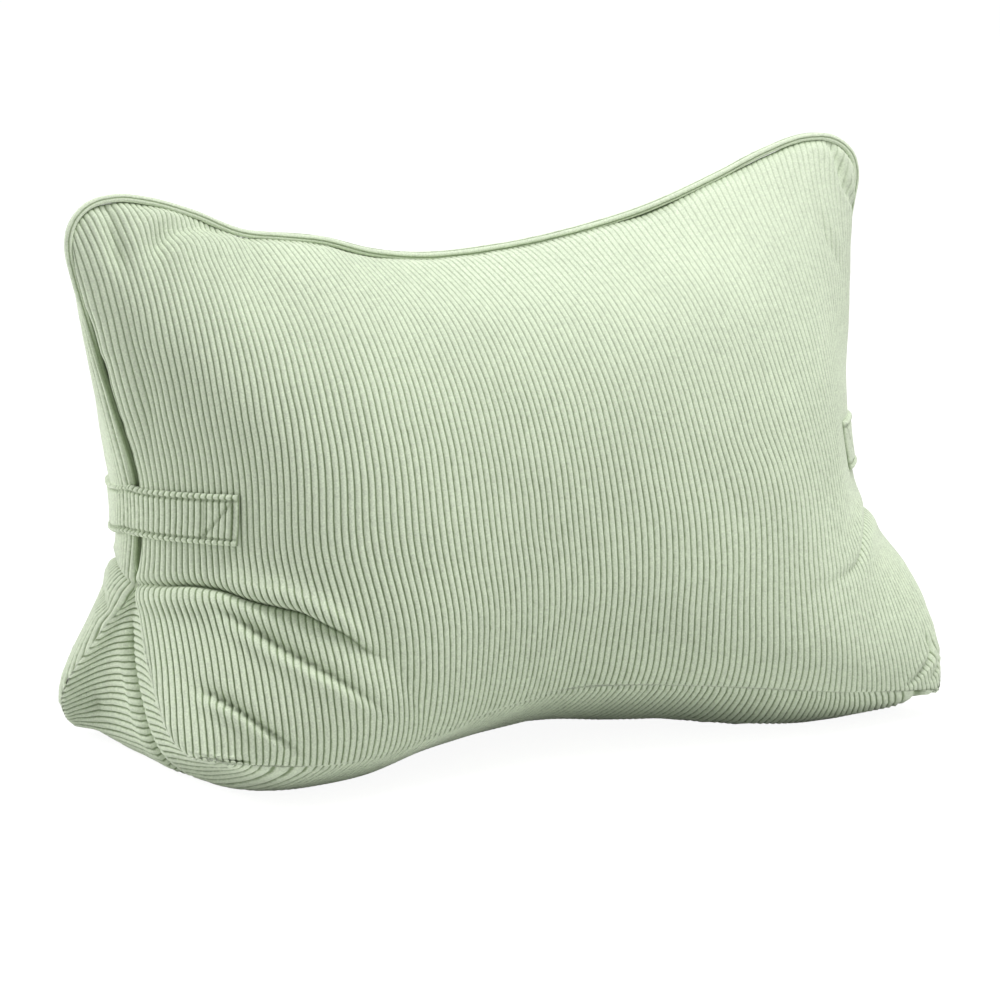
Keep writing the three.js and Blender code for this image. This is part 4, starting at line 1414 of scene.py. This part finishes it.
# ------------------------------------------------------------------ settings
class CushionSizes(PropertyGroup):
    """Sizes of the cloth, the piping and the straps."""

    rib_pitch: FloatProperty(
        name="Rib spacing", description="From one groove of the cloth to the next",
        default=0.0047, min=0.002, max=0.01, unit="LENGTH")
    rib_height: FloatProperty(
        name="Rib height", description="Height of a rib above its groove",
        default=0.0015, min=0.0, max=0.003, unit="LENGTH")
    rib_wander: FloatProperty(
        name="Rib wander", description="How far a rib strays from its straight line",
        default=0.0004, min=0.0, max=0.002, unit="LENGTH")
    side_swell: FloatProperty(
        name="Seam swell", description="How far the filling pushes the cloth out beside a seam",
        default=0.005, min=0.0, max=0.008, unit="LENGTH")
    pucker: FloatProperty(
        name="Seam puckers", description="Height of the small puckers beside the seams",
        default=0.0009, min=0.0, max=0.003, unit="LENGTH")
    sag: FloatProperty(
        name="Unevenness", description="Height of the soft unevenness of the filling",
        default=0.0012, min=0.0, max=0.006, unit="LENGTH")
    piping_radius: FloatProperty(
        name="Piping radius", description="Radius of the covered cord",
        default=0.003, min=0.001, max=0.006, unit="LENGTH")
    strap_width: FloatProperty(
        name="Strap width", description="Width of a carrying strap",
        default=0.034, min=0.02, max=0.05, unit="LENGTH")
    strap_thickness: FloatProperty(
        name="Strap thickness", description="Thickness of a folded strap in its grooves",
        default=0.0018, min=0.001, max=0.004, unit="LENGTH")
    strap_reach: FloatProperty(
        name="Strap reach", description="Length of a strap on the front, and on the back",
        default=0.088, min=0.04, max=0.12, unit="LENGTH")
    strap_height: FloatProperty(
        name="Strap height", description="Height of a strap's middle above the floor",
        default=0.179, min=0.16, max=0.19, unit="LENGTH")
    strap_tilt: FloatProperty(
        name="Strap tilt", description="How much a strap rises towards its front end",
        default=0.06, min=-0.1, max=0.1)
    strap_shift_left: FloatProperty(
        name="Left strap forward", description="How far the left strap is set to the front",
        default=0.001, min=-0.02, max=0.02, unit="LENGTH")
    strap_shift_right: FloatProperty(
        name="Right strap forward", description="How far the right strap is set to the front",
        default=-0.009, min=-0.02, max=0.02, unit="LENGTH")
    stitch_inset: FloatProperty(
        name="Stitch inset", description="From a strap's edge to its line of stitching",
        default=0.004, min=0.002, max=0.008, unit="LENGTH")
    stitch_length: FloatProperty(
        name="Stitch length", description="Length of one stitch",
        default=0.0028, min=0.001, max=0.005, unit="LENGTH")
    box_length: FloatProperty(
        name="Stitched box", description="From a strap's end to the far side of its stitched box",
        default=0.026, min=0.01, max=0.05, unit="LENGTH")


class CushionColours(PropertyGroup):
    """Colours of the cloth and the thread."""

    crest: FloatVectorProperty(
        name="Rib", description="Colour of the pile on a rib",
        default=(0.695, 0.780, 0.602), size=3, min=0.0, max=1.0, subtype="COLOR")
    # partly the cloth's own ground colour and partly painted shade of the ribs beside it
    groove: FloatVectorProperty(
        name="Groove", description="Colour of the ground between two ribs",
        default=(0.27, 0.345, 0.20), size=3, min=0.0, max=1.0, subtype="COLOR")
    thread: FloatVectorProperty(
        name="Thread", description="Colour of the sewing thread",
        default=(0.60, 0.68, 0.50), size=3, min=0.0, max=1.0, subtype="COLOR")


class StudioSettings(PropertyGroup):
    """Floor, light and camera."""

    floor_colour: FloatVectorProperty(
        name="Floor", description="Colour of the floor",
        default=(0.86, 0.86, 0.86), size=3, min=0.0, max=1.0, subtype="COLOR")
    shadow_share: FloatProperty(
        name="Shadow", description="How much of the shadow on the floor shows",
        default=0.25, min=0.0, max=0.99, subtype="FACTOR")
    sky_light: FloatProperty(
        name="Sky", description="Strength of the even light from all sides", default=0.32, min=0.0)
    key_power: FloatProperty(
        name="Key lamp", description="Power of the lamp above and to the right",
        default=49.0, min=0.0, unit="POWER")
    fill_power: FloatProperty(
        name="Fill lamp", description="Power of the lamp in front on the left",
        default=2.0, min=0.0, unit="POWER")
    rim_power: FloatProperty(
        name="Rim lamp", description="Power of the lamp behind on the left",
        default=26.0, min=0.0, unit="POWER")
    lens: FloatProperty(
        name="Lens", description="Focal length", default=244.8, min=20.0, unit="CAMERA")
    camera_azimuth: FloatProperty(
        name="Camera azimuth", description="Turn of the camera from the front, to the left below 0",
        default=math.radians(-28.0), subtype="ANGLE")
    camera_elevation: FloatProperty(
        name="Camera elevation", description="Height of the camera as an angle",
        default=math.radians(12.5), subtype="ANGLE")
    camera_distance: FloatProperty(
        name="Camera distance", description="From the camera to the cushion",
        default=4.6, min=1.0, unit="LENGTH")


# ------------------------------------------------------------------ operators
def cloth(name, scene, lighter=1.0):
    """The cord cloth in the scene's colours."""
    colours = scene.cushion_colours
    crest, groove = ([min(1.0, c * lighter) for c in colour]
                     for colour in (colours.crest, colours.groove))
    return cloth_material(name, crest, groove)


class CUSHION_OT_cover(Operator):
    """Builds the filled cover from its front, its back and its strip"""

    bl_idname = "cushion.cover"
    bl_label = "Cover"

    def execute(self, context):
        piece = make_cover(context.scene.cushion_sizes, cloth("cord_cloth", context.scene))
        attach(piece, "root")
        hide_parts("cushion_body")
        return {"FINISHED"}


class CUSHION_OT_piping(Operator):
    """Builds the piping in the seam over the top and sides"""

    bl_idname = "cushion.piping"
    bl_label = "Piping"

    def execute(self, context):
        material = cloth("piping_cloth", context.scene, lighter=1.04)
        piece = make_piping(context.scene.cushion_sizes, material)
        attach(piece, "root")
        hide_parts("piping")
        return {"FINISHED"}


class CUSHION_OT_straps(Operator):
    """Builds the two carrying straps and their stitching"""

    bl_idname = "cushion.straps"
    bl_label = "Straps"

    def execute(self, context):
        sizes = context.scene.cushion_sizes
        material = cloth("strap_cloth", context.scene)
        thread = thread_material("thread", context.scene.cushion_colours.thread)
        for word, side in (("left", -1), ("right", 1)):
            strap = make_strap("strap_" + word, side, sizes, material)
            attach(strap, "root")
            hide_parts("handle_" + word)
            seam = make_stitching("strap_stitching_" + word, side, sizes, thread)
            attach(seam, "root")
        return {"FINISHED"}


class CUSHION_OT_stage(Operator):
    """Builds the floor, the light and the camera"""

    bl_idname = "cushion.stage"
    bl_label = "Stage"

    def execute(self, context):
        settings = context.scene.cushion_studio
        context.scene.view_settings.view_transform = "Standard"
        for make in (make_floor, make_world, make_lamps, make_camera):
            make(settings)
        return {"FINISHED"}


class CUSHION_PT_sidebar(Panel):
    """The cushion's settings and its pieces"""

    bl_idname = "CUSHION_PT_sidebar"
    bl_label = "Cord Back Cushion"
    bl_space_type = "VIEW_3D"
    bl_region_type = "UI"
    bl_category = "Cushion"

    def draw(self, context):
        for settings in (context.scene.cushion_sizes, context.scene.cushion_colours,
                         context.scene.cushion_studio):
            for name in settings.bl_rna.properties.keys():
                if name not in ("rna_type", "name"):
                    self.layout.prop(settings, name)
        for operator in OPERATORS:
            self.layout.operator(operator.bl_idname)


OPERATORS = (CUSHION_OT_stage, CUSHION_OT_cover, CUSHION_OT_piping, CUSHION_OT_straps)
SETTINGS = (
    ("cushion_sizes", CushionSizes),
    ("cushion_colours", CushionColours),
    ("cushion_studio", StudioSettings),
)


def register():
    """Adds the settings, the operators and the sidebar."""
    for name, kind in SETTINGS:
        bpy.utils.register_class(kind)
        setattr(bpy.types.Scene, name, PointerProperty(type=kind))
    for kind in (*OPERATORS, CUSHION_PT_sidebar):
        bpy.utils.register_class(kind)


def unregister():
    """Takes them away again."""
    for kind in (CUSHION_PT_sidebar, *reversed(OPERATORS)):
        bpy.utils.unregister_class(kind)
    for name, kind in reversed(SETTINGS):
        delattr(bpy.types.Scene, name)
        bpy.utils.unregister_class(kind)


def main():
    """Builds every piece and works out how large the whole is beside the frame's box."""
    register()
    bpy.ops.cushion.stage()
    bpy.ops.cushion.cover()
    bpy.ops.cushion.piping()
    bpy.ops.cushion.straps()
    sizes = {"cad": [list(corner) for corner in CAD_BOX],
             "visual": [list(corner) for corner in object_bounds()]}


if __name__ == "__main__":
    main()
